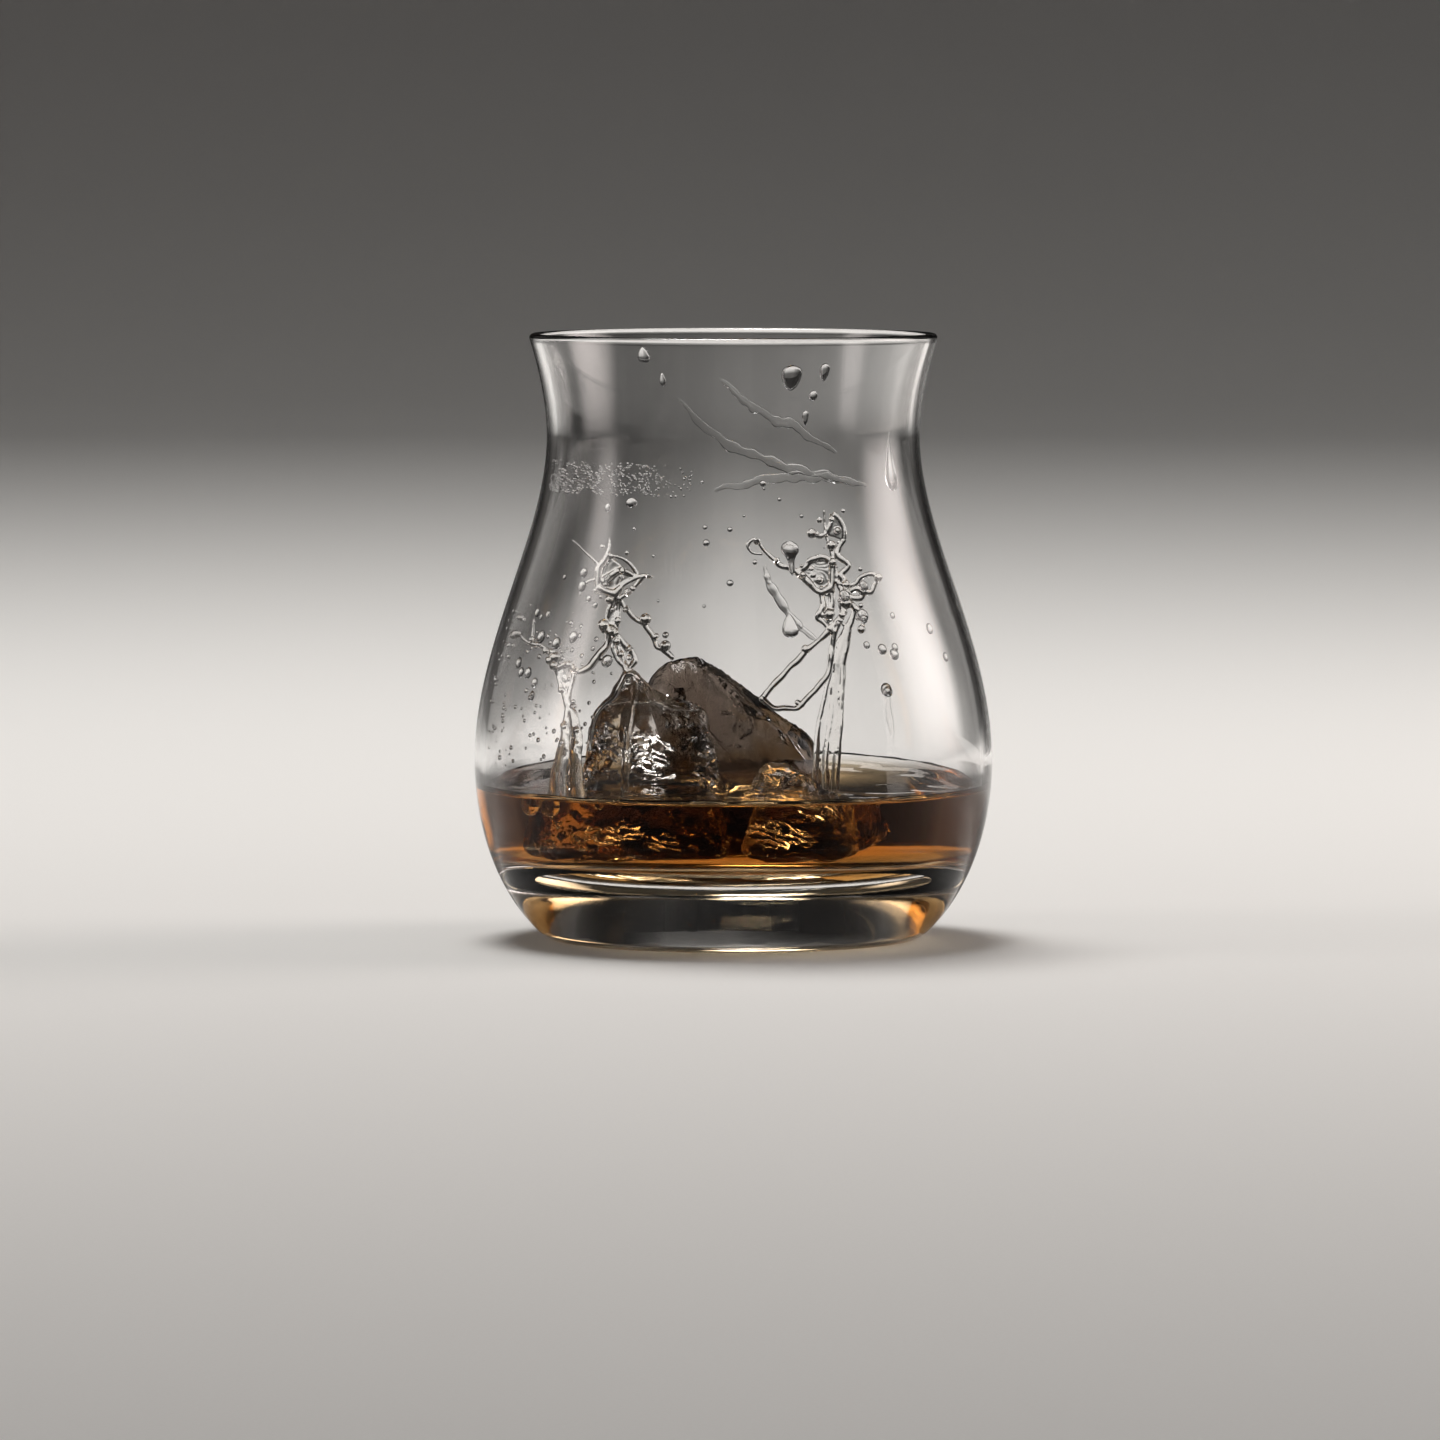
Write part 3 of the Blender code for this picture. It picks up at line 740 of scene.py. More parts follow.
def crackPoints(crack):
    # both sides of a thin wavy lens, ring by ring from its middle
    c = crackLook
    middle, width, length, tilt, roll = crack
    middle = Vector(middle) * mm
    across = Vector((math.cos(math.radians(roll)), 0, math.sin(math.radians(roll))))
    up = Vector((0, math.cos(math.radians(tilt)), math.sin(math.radians(tilt))))
    out = across.cross(up).normalized()
    points = []
    for side in (1, -1):
        for ring in range(c["rings"] + 1):
            share = ring / c["rings"]
            for k in range(c["sides"]):
                turn = 2 * math.pi * k / c["sides"]
                edge = Vector((math.cos(turn), math.sin(turn), 0))
                reach = share * (1 - c["ragged"] * abs(noise.noise(edge * c["raggedWaves"] + middle / mm)))
                aside = edge.x * reach * width / 2 * mm
                rise = edge.y * reach * length / 2 * mm
                at = middle + across * aside + up * rise
                sway = noise.noise(at / c["wanderLength"]) * c["wander"]
                phase = (rise + c["skew"] * aside + c["bend"] * sway) / c["waveLength"]
                sway += c["wave"] * math.sin(2 * math.pi * phase)
                points.append(at + out * (sway + side * c["thick"] / 2 * math.sqrt(1 - share ** 2)))
    return points


def addCrack(mesh, crack):
    # its faces look into the air of the crack, so they are turned after the rest
    points = crackPoints(crack)
    faces = []
    for a, b, c, d in closedGrid(crackLook["rings"], crackLook["sides"]):
        faces.append((a, b, c, d))
        faces.append(tuple(len(points) // 2 + i for i in (a, d, c, b)))
    lens = bmesh.new()
    lens.from_mesh(rawMesh(points, faces))
    bmesh.ops.remove_doubles(lens, verts=lens.verts, dist=weld)
    bmesh.ops.recalc_face_normals(lens, faces=lens.faces)
    bmesh.ops.reverse_faces(lens, faces=lens.faces)
    spare = bpy.data.meshes.new("crack")
    lens.to_mesh(spare)
    lens.free()
    both = bmesh.new()
    both.from_mesh(mesh)
    both.from_mesh(spare)
    both.to_mesh(mesh)
    both.free()
    mesh.shade_smooth()


def rockHull(name):
    # the hull of a ball at each corner of the rock
    r = rocks[name]
    boxLow, boxHigh = rockBoxes[name]
    size = boxHigh - boxLow
    middle = (boxLow + boxHigh) / 2
    bm = bmesh.new()
    for across, back, up in flatBase + r["tops"]:
        centre = Vector((middle.x + across * (size.x / 2 - r["round"]),
                         middle.y + back * (size.y / 2 - r["round"]),
                         boxLow.z + r["round"] + up * (size.z - 2 * r["round"])))
        ball = bmesh.ops.create_icosphere(bm, subdivisions=rockLook["ball"], radius=r["round"])
        bmesh.ops.translate(bm, vec=centre, verts=ball["verts"])
    hull = bmesh.ops.convex_hull(bm, input=bm.verts)
    spare = [g for g in hull["geom_interior"] + hull["geom_unused"] if isinstance(g, bmesh.types.BMVert)]
    bmesh.ops.delete(bm, geom=spare, context="VERTS")
    mesh = bpy.data.meshes.new("rock")
    bm.to_mesh(mesh)
    bm.free()
    return mesh


def evenRock(mesh):
    # the same form in small even faces, with its edges softened
    holder = bpy.data.objects.new("rockHolder", mesh)
    scene.collection.objects.link(holder)
    even = holder.modifiers.new("even", "REMESH")
    even.mode = "VOXEL"
    even.voxel_size = rockLook["voxel"]
    soft = holder.modifiers.new("soft", "SMOOTH")
    soft.iterations = rockLook["softening"]
    graph = bpy.context.evaluated_depsgraph_get()
    made = bpy.data.meshes.new_from_object(holder.evaluated_get(graph))
    holder.modifiers.clear()
    bpy.data.objects.remove(holder)
    return made


def meltRock(mesh, r):
    look = rockLook
    shift = Vector((0, r["seed"], 0))
    apex = Vector(r["apex"])
    for vertex in mesh.vertices:
        near = noise.voronoi(vertex.co / r["cell"] + Vector((r["seed"], 0, 0)))[0]
        dent = r["scallop"] * (min(1.0, near[1] - near[0]) - look["brink"])
        fine = r["grain"] * noise.noise(vertex.co / look["grainLength"] + shift)
        # melt runs down the ice in furrows that fan out from above its top
        down = vertex.co - apex
        fan = Vector((math.atan2(down.x, -down.z) * r["fan"], vertex.co.y, down.length * look["fanDrop"]))
        patch = noise.noise(vertex.co / look["patchLength"] + shift)
        deep = min(1.0, max(0.0, look["patch"] + look["patchSpread"] * patch))
        furrow = r["furrow"] * deep * noise.noise(fan / r["furrowWidth"] + shift)
        vertex.co += vertex.normal * (fine + furrow - dent)


def makeRock(name):
    r = rocks[name]
    made = evenRock(rockHull(name))
    meltRock(made, r)
    piece = pieceFromMesh("iceRock" + name.capitalize(), made, r["finish"])
    for crack in cracks[name]:
        addCrack(piece.data, crack)
    settle(piece, r["body"], "ice", rockNodes[name])


for rockName in rocks:
    makeRock(rockName)
print("ice hacked")


def skinTree():
    # wraps points of a given radius in one smooth skin
    tree, given = startTree("liquidSkin", {"Voxel": "Float", "Smoothing": "Int", "Finish": "Material"})
    thick = namedValue(tree, "thick")
    points = addNode(tree, "GeometryNodeMeshToPoints", links={"Mesh": given["Geometry"], "Radius": thick})
    cloud = addNode(tree, "GeometryNodePointsToVolume", {"resolution_mode": "VOXEL_SIZE"},
                    links={"Points": points.outputs[0], "Voxel Size": given["Voxel"], "Radius": thick})
    skin = addNode(tree, "GeometryNodeVolumeToMesh", {"resolution_mode": "VOXEL_SIZE"}, {"Threshold": 0.1},
                   {"Volume": cloud.outputs[0], "Voxel Size": given["Voxel"]})
    blurred = addNode(tree, "GeometryNodeBlurAttribute", {"data_type": "FLOAT_VECTOR"},
                      links={"Value": pointPosition(tree), "Iterations": given["Smoothing"]})
    endTree(tree, moveTo(tree, skin.outputs[0], blurred.outputs[0]), given["Finish"])
    return tree


# thrown whisky: each thread has a half thickness at its start and end, and runs through points,
# all in mm from the middle of its node's foot (across, back, up); a film hangs between two threads
splashes = {
    "Left": {
        "node": "splash_left", "calm": 14.0 * mm,
        "threads": {
            "stemLeft": (0.4, 0.4, [
                (-0.5, 0, 20.5), (-2, 0.5, 22), (-3, 0.5, 24), (-3, 0, 25.5), (-3.5, 0, 27)]),
            "stemRight": (0.4, 0.4, [
                (-0.5, 0, 20.5), (0.5, -0.5, 21.5), (0.5, -1, 23), (-1, -0.5, 25), (-3, 0, 27)]),
            "stemMiddle": (0.3, 0.3, [(-0.5, 0, 20.5), (-1.5, -0.5, 23), (-2, 0, 24.5), (-3, 0, 27)]),
            "knot": (0.6, 0.5, [(-3, 0, 27), (-4, -0.5, 27.5), (-4.5, 0, 27)]),
            "neckRight": (0.35, 0.4, [(-3, 0, 27), (-2, 0, 29), (-2, 0, 31.5), (-2.5, 0, 33.5)]),
            "neckLeft": (0.35, 0.4, [(-4.5, 0, 27), (-4, 0, 29), (-3.5, 0, 31), (-2.5, 0, 33.5)]),
            "chain": (0.4, 0.4, [
                (-2.5, 0, 33.5), (-0.5, 0, 30.5), (1, 0, 29), (2.5, 0, 28), (3.5, 0, 26.5),
                (4.5, 0, 24.5), (5.5, 0, 24), (7, 0, 22.5)]),
            "pillar": (0.5, 0.35, [
                (-2.5, 0, 33.5), (-4.5, 0, 34), (-5.5, 0.5, 35), (-5.5, 0.5, 37.5), (-4.5, 0.5, 39),
                (-4, 0.5, 40)]),
            "spike": (0.35, 0.2, [(-4, 0.5, 40), (-3.5, 0.5, 41.5), (-3.5, 0.5, 43)]),
            "wing": (0.5, 0.35, [(-2.5, 0, 33.5), (-1, -0.5, 35), (1, -0.5, 36)]),
            "wingTip": (0.35, 0.25, [(1, -0.5, 36), (2, -1, 36.5), (3.5, -1, 36.5)]),
            "wingUnder": (0.35, 0.3, [(-2, 0, 32.5), (0, -1, 34), (1.5, -1, 35.5), (2, -1, 36.5)]),
            "rim": (0.3, 0.3, [
                (-4, 0.5, 40), (-3, 0.5, 40), (-1.5, 0, 39.5), (0, -0.5, 38.5), (1, -0.5, 37),
                (1, -0.5, 36)]),
            "fold": (0.45, 0.3, [(-4.5, 0.5, 35.5), (-2.5, 0, 37), (-1, -0.5, 37.5), (1, -0.5, 36)]),
            "hook": (0.3, 0.2, [(-5.5, 0.5, 36), (-7, 1, 35.5), (-8, 1, 34.5), (-8.5, 1, 33)]),
            "hair": (0.25, 0.18, [(-5.5, 0.5, 38.5), (-7, 1, 40), (-8.5, 1, 41.5), (-9.5, 1.5, 42.5)]),
            "arm": (0.5, 0.4, [
                (-3.5, 0, 27), (-4, 0.5, 24.5), (-5.5, 1, 23), (-7, 1, 21), (-9, 1.5, 20),
                (-10, 1.5, 21)]),
            "skirtLeft": (0.5, 0.4, [
                (-0.5, 0, 20.5), (-1.5, 1.5, 18.5), (-3, 3, 16), (-4.5, 3.5, 14.5)]),
            "skirtRight": (0.5, 0.4, [(-0.5, 0, 20.5), (1, 0.5, 19.5), (2.5, 2, 17.5), (4, 3.5, 15)]),
            "hemLeft": (0.4, 0.2, [(-4.5, 3.5, 14.5), (-6, 4, 12.5), (-7, 4, 9), (-7, 4, 6.5)]),
            "hemRight": (0.4, 0.2, [(4, 3.5, 15), (6, 4, 14), (9, 4, 13.5), (11.5, 4, 13.5)]),
            "hemMiddle": (0.4, 0.6, [
                (-0.5, 0, 20.5), (0.5, 1, 19), (0.5, 3, 15.5), (-0.5, 4, 10), (-1, 4, 3),
                (-1, 3.5, -1)]),
        },
        "films": [("stemLeft", "stemRight", 0.16), ("neckLeft", "neckRight", 0.16), ("pillar", "wing", 0.15),
                  ("skirtLeft", "skirtRight", 0.2)],
        "beads": [(2.5, 0, 29, 0.8), (6, 0, 24.5, 0.75), (-4.5, -0.5, 28, 0.8), (-3.5, 0, 32.5, 0.6)],
    },
    "Spray": {
        "node": "splash_spray", "calm": 10.0 * mm,
        "threads": {
            "tip": (0.3, 0.4, [
                (-6.5, 0.5, 26.5), (-5, 0.5, 25), (-3, 0, 24.5), (-1.5, 0, 23.5), (-1, 0, 22),
                (-0.5, 0, 20.5)]),
            "antler": (0.3, 0.18, [(-4.5, 0.5, 25), (-4, 0.5, 26.5), (-4, 0.5, 29)]),
            "loopLeft": (0.35, 0.35, [
                (-0.5, 0, 20.5), (0, 0, 19), (0.5, 0, 17.5), (1, 0, 16.5), (1.5, 0, 14)]),
            "loopRight": (0.35, 0.35, [
                (-0.5, 0, 20.5), (1, 0, 21.5), (2, 0, 21), (2.5, 0, 19.5), (2, 0, 17), (1.5, 0, 14)]),
            "fallLeft": (0.35, 1.3, [(1.5, 0, 14), (1, 0, 11), (1, 0, 8), (0, 0, 3), (-0.5, 0, -1.5)]),
            "fallRight": (0.35, 1.3, [
                (1.5, 0, 14), (2.5, 0, 12.5), (3, 0, 8.5), (2.5, 0, 4), (3, 0, -1.5)]),
        },
        "films": [("loopLeft", "loopRight", 0.15), ("fallLeft", "fallRight", 0.2)],
        "beads": [(-1.5, 0, 22, 0.6), (-0.5, -0.5, 22.5, 0.7), (-1, 0.5, 21, 0.6), (-2, 0, 23.5, 0.5),
                  (2.5, 0, 20.5, 0.5), (1.5, -0.5, 21.5, 0.5), (-6.5, 0.5, 26.5, 0.5), (0.5, 0, 17, 0.5)],
    },
    "Right": {
        "node": "splash_right", "calm": 28.0 * mm,
        "threads": {
            "sheetRight": (0.6, 0.3, [
                (3, 0, -0.5), (3.5, 0, 6), (4, 0, 13), (4.5, 0, 20), (5.5, 0, 25.5), (6.5, 0, 29.5)]),
            "sheetLeft": (0.5, 0.2, [
                (1.5, 0.5, -0.5), (1.5, 0.5, 5), (2.5, 0.5, 12), (3, 0.5, 18), (4, 0.5, 23),
                (5.5, 0, 27.5)]),
            "veilLeft": (0.4, 0.18, [
                (-0.5, 1, -0.5), (0, 1, 8), (1, 1, 13.5), (2.5, 1, 19.5), (3.5, 0.5, 24)]),
            "climberUnder": (0.45, 0.45, [
                (-9.5, 1.5, 14), (-7.5, 1, 16.5), (-4.5, 0.5, 19.5), (-2, 0.5, 22)]),
            "climberOver": (0.3, 0.4, [(-9, 1.5, 15), (-6, 1, 18), (-3, 0.5, 21), (-2, 0.5, 22)]),
            "climber": (0.45, 0.45, [(-2, 0.5, 22), (0, 0, 24), (2.5, 0, 26.5), (4.5, 0, 29)]),
            "bow": (0.4, 0.4, [
                (-9.5, 1.5, 14), (-7.5, 0.5, 12.5), (-5.5, 0, 12.5), (-3.5, 0, 12.5), (-2, 0, 14),
                (0, 0, 16), (2, 0, 19), (2.5, 0, 23), (3, 0, 25.5), (4.5, 0, 29)]),
            "bowCurl": (0.3, 0.4, [(-2.5, 0, 13), (-3.5, 0, 13.5)]),
            "ringLow": (0.5, 0.5, [
                (-3.5, 0.5, 36), (-1.5, 0.5, 34), (0.5, 0.5, 32.5), (2.5, 0, 33.5), (2.5, 0, 36),
                (2.5, -0.5, 38)]),
            "ringHigh": (0.4, 0.4, [
                (-3.5, 0.5, 36), (-2, 0, 37), (-1.5, 0, 38), (0.5, -0.5, 38.5), (2.5, -0.5, 38)]),
            "lasso": (0.4, 0.25, [
                (-3.5, 0.5, 36), (-6, 0, 37), (-7.5, 0, 38), (-9, 0, 39.5), (-10, -0.5, 41),
                (-11, 0, 41.5), (-12, 0, 40.5), (-11, 0.5, 39), (-9.5, 0, 39)]),
            "spine": (0.5, 0.2, [
                (6.5, 0, 29.5), (4.5, -0.5, 32), (3.5, 0.5, 34), (3, 0, 36.5), (2.5, -0.5, 39.5),
                (1.5, 0, 42.5), (1, 0.5, 46.5)]),
            "twist": (0.5, 0.4, [
                (4.5, 0, 29), (4, 0.5, 31.5), (5, -0.5, 33.5), (4, 0.5, 35.5), (5.5, 0.5, 37),
                (3.5, -0.5, 39), (4.5, 0, 41.5)]),
            "topLeft": (0.35, 0.35, [(1.5, 0, 42.5), (2.5, 0.5, 45), (3, 0.5, 46)]),
            "topRight": (0.35, 0.35, [(4.5, 0, 41.5), (4.5, -0.5, 43.5), (4, 0, 45), (3, 0.5, 46)]),
            "beadArm": (0.5, 0.3, [(-1, 0.5, 42.5), (0.5, 0.5, 42), (1.5, 0, 42.5)]),
            "branchHigh": (0.45, 0.4, [
                (3.5, 0.5, 34), (6, 0.5, 33.5), (7.5, 0.5, 35), (9.5, 1, 35.5), (10.5, 0.5, 35)]),
            "branchLow": (0.45, 0.4, [
                (4.5, -0.5, 32), (6.5, -0.5, 33), (9, -0.5, 32.5), (10, 0, 34), (10.5, 0.5, 35)]),
            "branchUnder": (0.4, 0.35, [(5.5, 0, 31.5), (7.5, -0.5, 31.5), (8, -0.5, 32.5)]),
            "lobeLeft": (0.45, 0.4, [
                (0.5, 0.5, 32.5), (1, 0.5, 30), (0, 0.5, 28), (1, 0.5, 27), (3, 0, 25.5)]),
            "lobeRight": (0.4, 0.4, [(2.5, 0, 33.5), (2.5, -0.5, 31), (2, -0.5, 28), (3, 0, 25.5)]),
            "drip": (0.4, 0.3, [(6.5, 0, 29.5), (7.5, 1, 29), (8, 1, 27.5), (7.5, 1, 26)]),
        },
        "films": [("sheetRight", "sheetLeft", 0.3), ("sheetLeft", "veilLeft", 0.15),
                  ("climberUnder", "climberOver", 0.15), ("ringLow", "ringHigh", 0.14),
                  ("topLeft", "topRight", 0.15), ("lobeLeft", "lobeRight", 0.14)],
        "beads": [(-1, 0.5, 42.5, 0.7), (10.5, 0.5, 35, 0.6), (8, -0.5, 32.5, 0.6), (5, 0, 30.5, 0.8),
                  (7.5, 1, 26, 0.6), (2.5, -0.5, 40.5, 0.7), (-2, 0.5, 22.5, 0.6), (2, 0, 28.5, 0.7)],
    },
}
splash = {"seed": 5, "droplets": 0.035, "dropletHalf": (0.3, 0.6), "dropletAway": 1.0 * mm,
          "voxel": 0.13 * mm, "step": 0.14 * mm, "wander": 0.3 * mm, "wanderLength": 2.4 * mm,
          "swelling": 0.35, "swellingLength": 2.6 * mm, "fullness": 1.25, "filmFullness": 1.4,
          "filmUneven": 0.35, "filmWave": 4.0 * mm, "smoothing": 4}


def smoothRun(points):
    # a Catmull-Rom run through the points, sampled at an even step
    run = []
    full = [points[0]] + points + [points[-1]]
    for a, b, c, d in zip(full, full[1:], full[2:], full[3:]):
        steps = max(2, int((Vector(c[:3]) - Vector(b[:3])).length / splash["step"]))
        for i in range(steps):
            t = i / steps
            run.append([0.5 * (2 * q + (r - p) * t + (2 * p - 5 * q + 4 * r - s) * t * t
                               + (3 * q - p - 3 * r + s) * t ** 3)
                        for p, q, r, s in zip(a, b, c, d)])
    run.append(list(points[-1]))
    return run


def threadRun(foot, thread):
    # places and half thicknesses along one thread
    startHalf, endHalf, stops = thread
    last = len(stops) - 1
    marks = []
    for i, (x, y, z) in enumerate(stops):
        half = between(startHalf, endHalf, i / last) * mm
        marks.append([foot.x + x * mm, foot.y + y * mm, foot.z + z * mm, half])
    return smoothRun(marks)


def evenRun(run, count):
    # the same run, with a set number of points
    return [run[round(i * (len(run) - 1) / (count - 1))] for i in range(count)]


def filmSpots(form, runs):
    # places across each film, from one of its threads to the other
    for oneEdge, otherEdge, half in form["films"]:
        count = max(len(runs[oneEdge]), len(runs[otherEdge]))
        for a, b in zip(evenRun(runs[oneEdge], count), evenRun(runs[otherEdge], count)):
            wide = (Vector(b[:3]) - Vector(a[:3])).length
            for i in range(int(wide / splash["step"]) + 1):
                share = i * splash["step"] / max(wide, splash["step"])
                yield [between(p, q, share) for p, q in zip(a, b)], half * mm * splash["filmFullness"]


def makeSplash(name, tree):
    form = splashes[name]
    boxLow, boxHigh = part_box(form["node"])
    foot = Vector(((boxLow.x + boxHigh.x) / 2, (boxLow.y + boxHigh.y) / 2, boxLow.z))
    runs = {label: threadRun(foot, thread) for label, thread in form["threads"].items()}
    spots = []

    def addSpot(spot, half, swelling, swellingLength):
        # smooth at its foot, broken higher up
        at = Vector(spot[:3])
        broken = min(1.0, max(0.0, at.z - foot.z) / form["calm"])
        at += noise.noise_vector(at / splash["wanderLength"]) * splash["wander"] * broken
        spots.append((at, half * (1 + swelling * noise.noise(at / swellingLength) * broken)))

    draw = random.Random(splash["seed"])
    noise.seed_set(splash["seed"])  # otherwise noise_vector starts from the clock
    for run in runs.values():
        for spot in run:
            addSpot(spot, spot[3] * splash["fullness"], splash["swelling"], splash["swellingLength"])
            if spot[2] - foot.z > form["calm"] and draw.random() < splash["droplets"]:
                # droplets that the broken threads throw off
                aside = Vector([draw.gauss(0, splash["dropletAway"]) for axis in range(3)])
                half = draw.uniform(*splash["dropletHalf"]) * mm
                addSpot(Vector(spot[:3]) + aside, half, 0, splash["filmWave"])
    for x, y, z, half in form["beads"]:
        addSpot(foot + Vector((x, y, z)) * mm, half * mm * splash["fullness"], 0, splash["swellingLength"])
    for spot, half in filmSpots(form, runs):
        addSpot(spot, half, splash["filmUneven"], splash["filmWave"])
    mesh = rawMesh([at for at, half in spots], [])
    markPoints(mesh, "thick", [half for at, half in spots])
    made = runNodes(mesh, tree, {"Voxel": splash["voxel"], "Smoothing": splash["smoothing"],
                                 "Finish": whiskyThrown})
    piece = pieceFromMesh("splash" + name, made, whiskyThrown)
    settle(piece, drinkBody, "splash", form["node"])
    print("splash", name, len(spots), "points,", len(made.polygons), "faces")


liquidSkin = skinTree()
for splashName in splashes:
    makeSplash(splashName, liquidSkin)

# drops on the inside wall: half widths from top to bottom as shares of the width
dropForms = {
    "round": [.45, .72, .90, 1.0, 1.0, .90, .72, .45],
    "pick": [.60, .92, 1.0, .97, .88, .74, .56, .32],
    "runner": [.12, .18, .26, .36, .50, .68, .88, 1.0, .98, .74],
    "mushroom": [.60, .94, 1.0, .92, .58, .38, .33, .33, .30, .22],
    "tear": [.22, .44, .62, .78, .90, 1.0, 1.0, .92, .66],
}
drops = {
    "drop_under_rim": (-27.0, 2.7, 2.4, 2.8, "tear"), "drop_below_rim": (-21.8, 6.9, 1.2, 2.4, "tear"),
    "drop_high_large": (17.6, 6.6, 3.6, 4.4, "pick"), "drop_high_long": (28.1, 5.7, 1.9, 3.1, "pick"),
    "drop_high_round": (25.1, 9.7, 1.6, 1.8, "round"), "drop_high_small": (22.9, 13.5, 1.2, 2.6, "pick"),
    "drop_running": (57.8, 21.4, 3.5, 10.4, "runner"), "drop_mushroom": (16.1, 37.2, 3.2, 5.8, "mushroom"),
    "drop_low": (14.3, 48.4, 2.8, 4.0, "tear"), "drop_side": (86.0, 47.1, 1.4, 2.8, "tear"),
    "drop_left_wall": (-32.3, 28.1, 2.2, 1.8, "round"), "drop_left_bead": (-40.9, 29.1, 1.2, 1.6, "round"),
}
dropLook = {"sides": 24, "rows": 20, "swell": 0.19, "bite": 0.04 * mm, "blunt": 6}


def makeDrop(node):
    look = dropLook
    sides, rows = look["sides"], look["rows"]
    degrees, below, width, length, form = drops[node]
    middle = tumbler["height"] - below * mm
    angle = math.radians(degrees)
    shape = dropForms[form]
    points = []
    for row in range(rows + 1):
        along = math.cos(math.pi * row / rows)
        share = (1 - along) / 2 * (len(shape) - 1)
        first = min(int(share), len(shape) - 2)
        half = between(shape[first], shape[first + 1], share - first) * width * mm / 2
        half *= math.sqrt(max(0.0, 1 - along ** look["blunt"]))
        z = middle + along * length * mm / 2
        radius = innerWall(z)[0]
        for side in range(sides):
            turn = 2 * math.pi * side / sides
            lift = math.sin(turn)
            proud = half * 2 * look["swell"] * lift if lift > 0 else look["bite"] * lift
            points.append(onWall(angle + half * math.cos(turn) / radius, z, proud))
    faces = [tuple(range(sides)), tuple(range(rows * sides, (rows + 1) * sides))]
    faces += closedGrid(rows, sides)
    words = node.split("_")
    name = words[0] + "".join(word.capitalize() for word in words[1:])
    piece = pieceFromMesh(name, rawMesh(points, faces), water)
    settle(piece, drinkBody, "drop", node)


for dropNode in drops:
    makeDrop(dropNode)
print("drops hung")


def beadTree():
    # domes scattered over a patch, flat side down, thinned by a slow noise
    tree, given = startTree("scatteredBeads", {
        "Per square metre": "Float", "Smallest": "Float", "Largest": "Float", "Height": "Float",
        "Sink": "Float", "Clumps": "Float", "Seed": "Int", "Finish": "Material"})
    clump = addNode(tree, "ShaderNodeTexNoise", values={"Detail": 1.0}, links={"Scale": given["Clumps"]})
    thin = addNode(tree, "ShaderNodeMapRange",
                   values={"From Min": 0.42, "From Max": 0.62, "To Min": 0.0, "To Max": 1.0},
                   links={"Value": clump.outputs["Fac"]})
    dense = maths(tree, "MULTIPLY", thin.outputs["Result"], given["Per square metre"])
    spread = addNode(tree, "GeometryNodeDistributePointsOnFaces", {"distribute_method": "RANDOM"},
                     links={"Mesh": given["Geometry"], "Density": dense, "Seed": given["Seed"]})
    ball = addNode(tree, "GeometryNodeMeshUVSphere", values={"Segments": 10, "Rings": 6, "Radius": 0.5})
    spot = splitVector(tree, pointPosition(tree))
    lifted = maths(tree, "MULTIPLY", spot[2], given["Height"])
    sunk = maths(tree, "MULTIPLY", spot[2], given["Sink"])
    domed = joinVector(tree, {0: spot[0], 1: spot[1], 2: maths(tree, "MAXIMUM", lifted, sunk)})
    dome = moveTo(tree, ball.outputs["Mesh"], domed)
    size = addNode(tree, "FunctionNodeRandomValue", {"data_type": "FLOAT"},
                   links={2: given["Smallest"], 3: given["Largest"], "Seed": given["Seed"]})
    put = addNode(tree, "GeometryNodeInstanceOnPoints",
                  links={"Points": spread.outputs["Points"], "Instance": dome,
                         "Rotation": spread.outputs["Rotation"], "Scale": size.outputs[1]})
    endTree(tree, put.outputs[0], given["Finish"])
    return tree


# what clings to the wall: angles from the front towards +X, heights, and sizes of the beads
clinging = {
    "mistBand": {"angles": (-76, -13), "heights": (77.0, 82.5), "each": 5.4e6, "sizes": (0.2, 0.62),
                 "height": 0.95, "clumps": 640.0, "seed": 4},
    "wallSpecks": {"angles": (-78, -34), "heights": (31.0, 58.0), "each": 2.6e5, "sizes": (0.25, 0.95),
                   "height": 0.8, "clumps": 140.0, "seed": 9},
    "wallRings": {"angles": (-64, -30), "heights": (40.0, 64.0), "each": 8.0e4, "sizes": (0.9, 2.4),
                  "height": 0.17, "clumps": 110.0, "seed": 12},
    "wideSpecks": {"angles": (-34, 30), "heights": (52.0, 80.0), "each": 3.4e4, "sizes": (0.3, 1.3),
                   "height": 0.6, "clumps": 90.0, "seed": 15},
    "flatRings": {"angles": (30, 66), "heights": (44.0, 64.0), "each": 9.0e4, "sizes": (0.8, 2.6),
                  "height": 0.22, "clumps": 90.0, "seed": 21},
}
wallPatch = {"columns": 40, "rows": 12}
beadSink = 0.12


def scatterBeads(name, points, faces, spec, tree):
    made = runNodes(rawMesh(points, faces), tree, {
        "Per square metre": spec["each"], "Smallest": spec["sizes"][0] * mm,
        "Largest": spec["sizes"][1] * mm, "Height": spec["height"], "Sink": beadSink,
        "Clumps": spec["clumps"], "Seed": spec["seed"], "Finish": water})
    piece = pieceFromMesh(name, made, water)
    settle(piece, drinkBody, "drop")
    print(name, len(made.polygons), "faces")


def makeClinging(name, tree):
    # a patch of the wall, whose faces look inwards
    spec = clinging[name]
    columns, rows = wallPatch["columns"], wallPatch["rows"]
    points = []
    for row in range(rows + 1):
        z = between(*spec["heights"], row / rows) * mm
        for column in range(columns + 1):
            points.append(onWall(math.radians(between(*spec["angles"], column / columns)), z, 0))
    scatterBeads(name, points, openGrid(rows, columns), spec, tree)


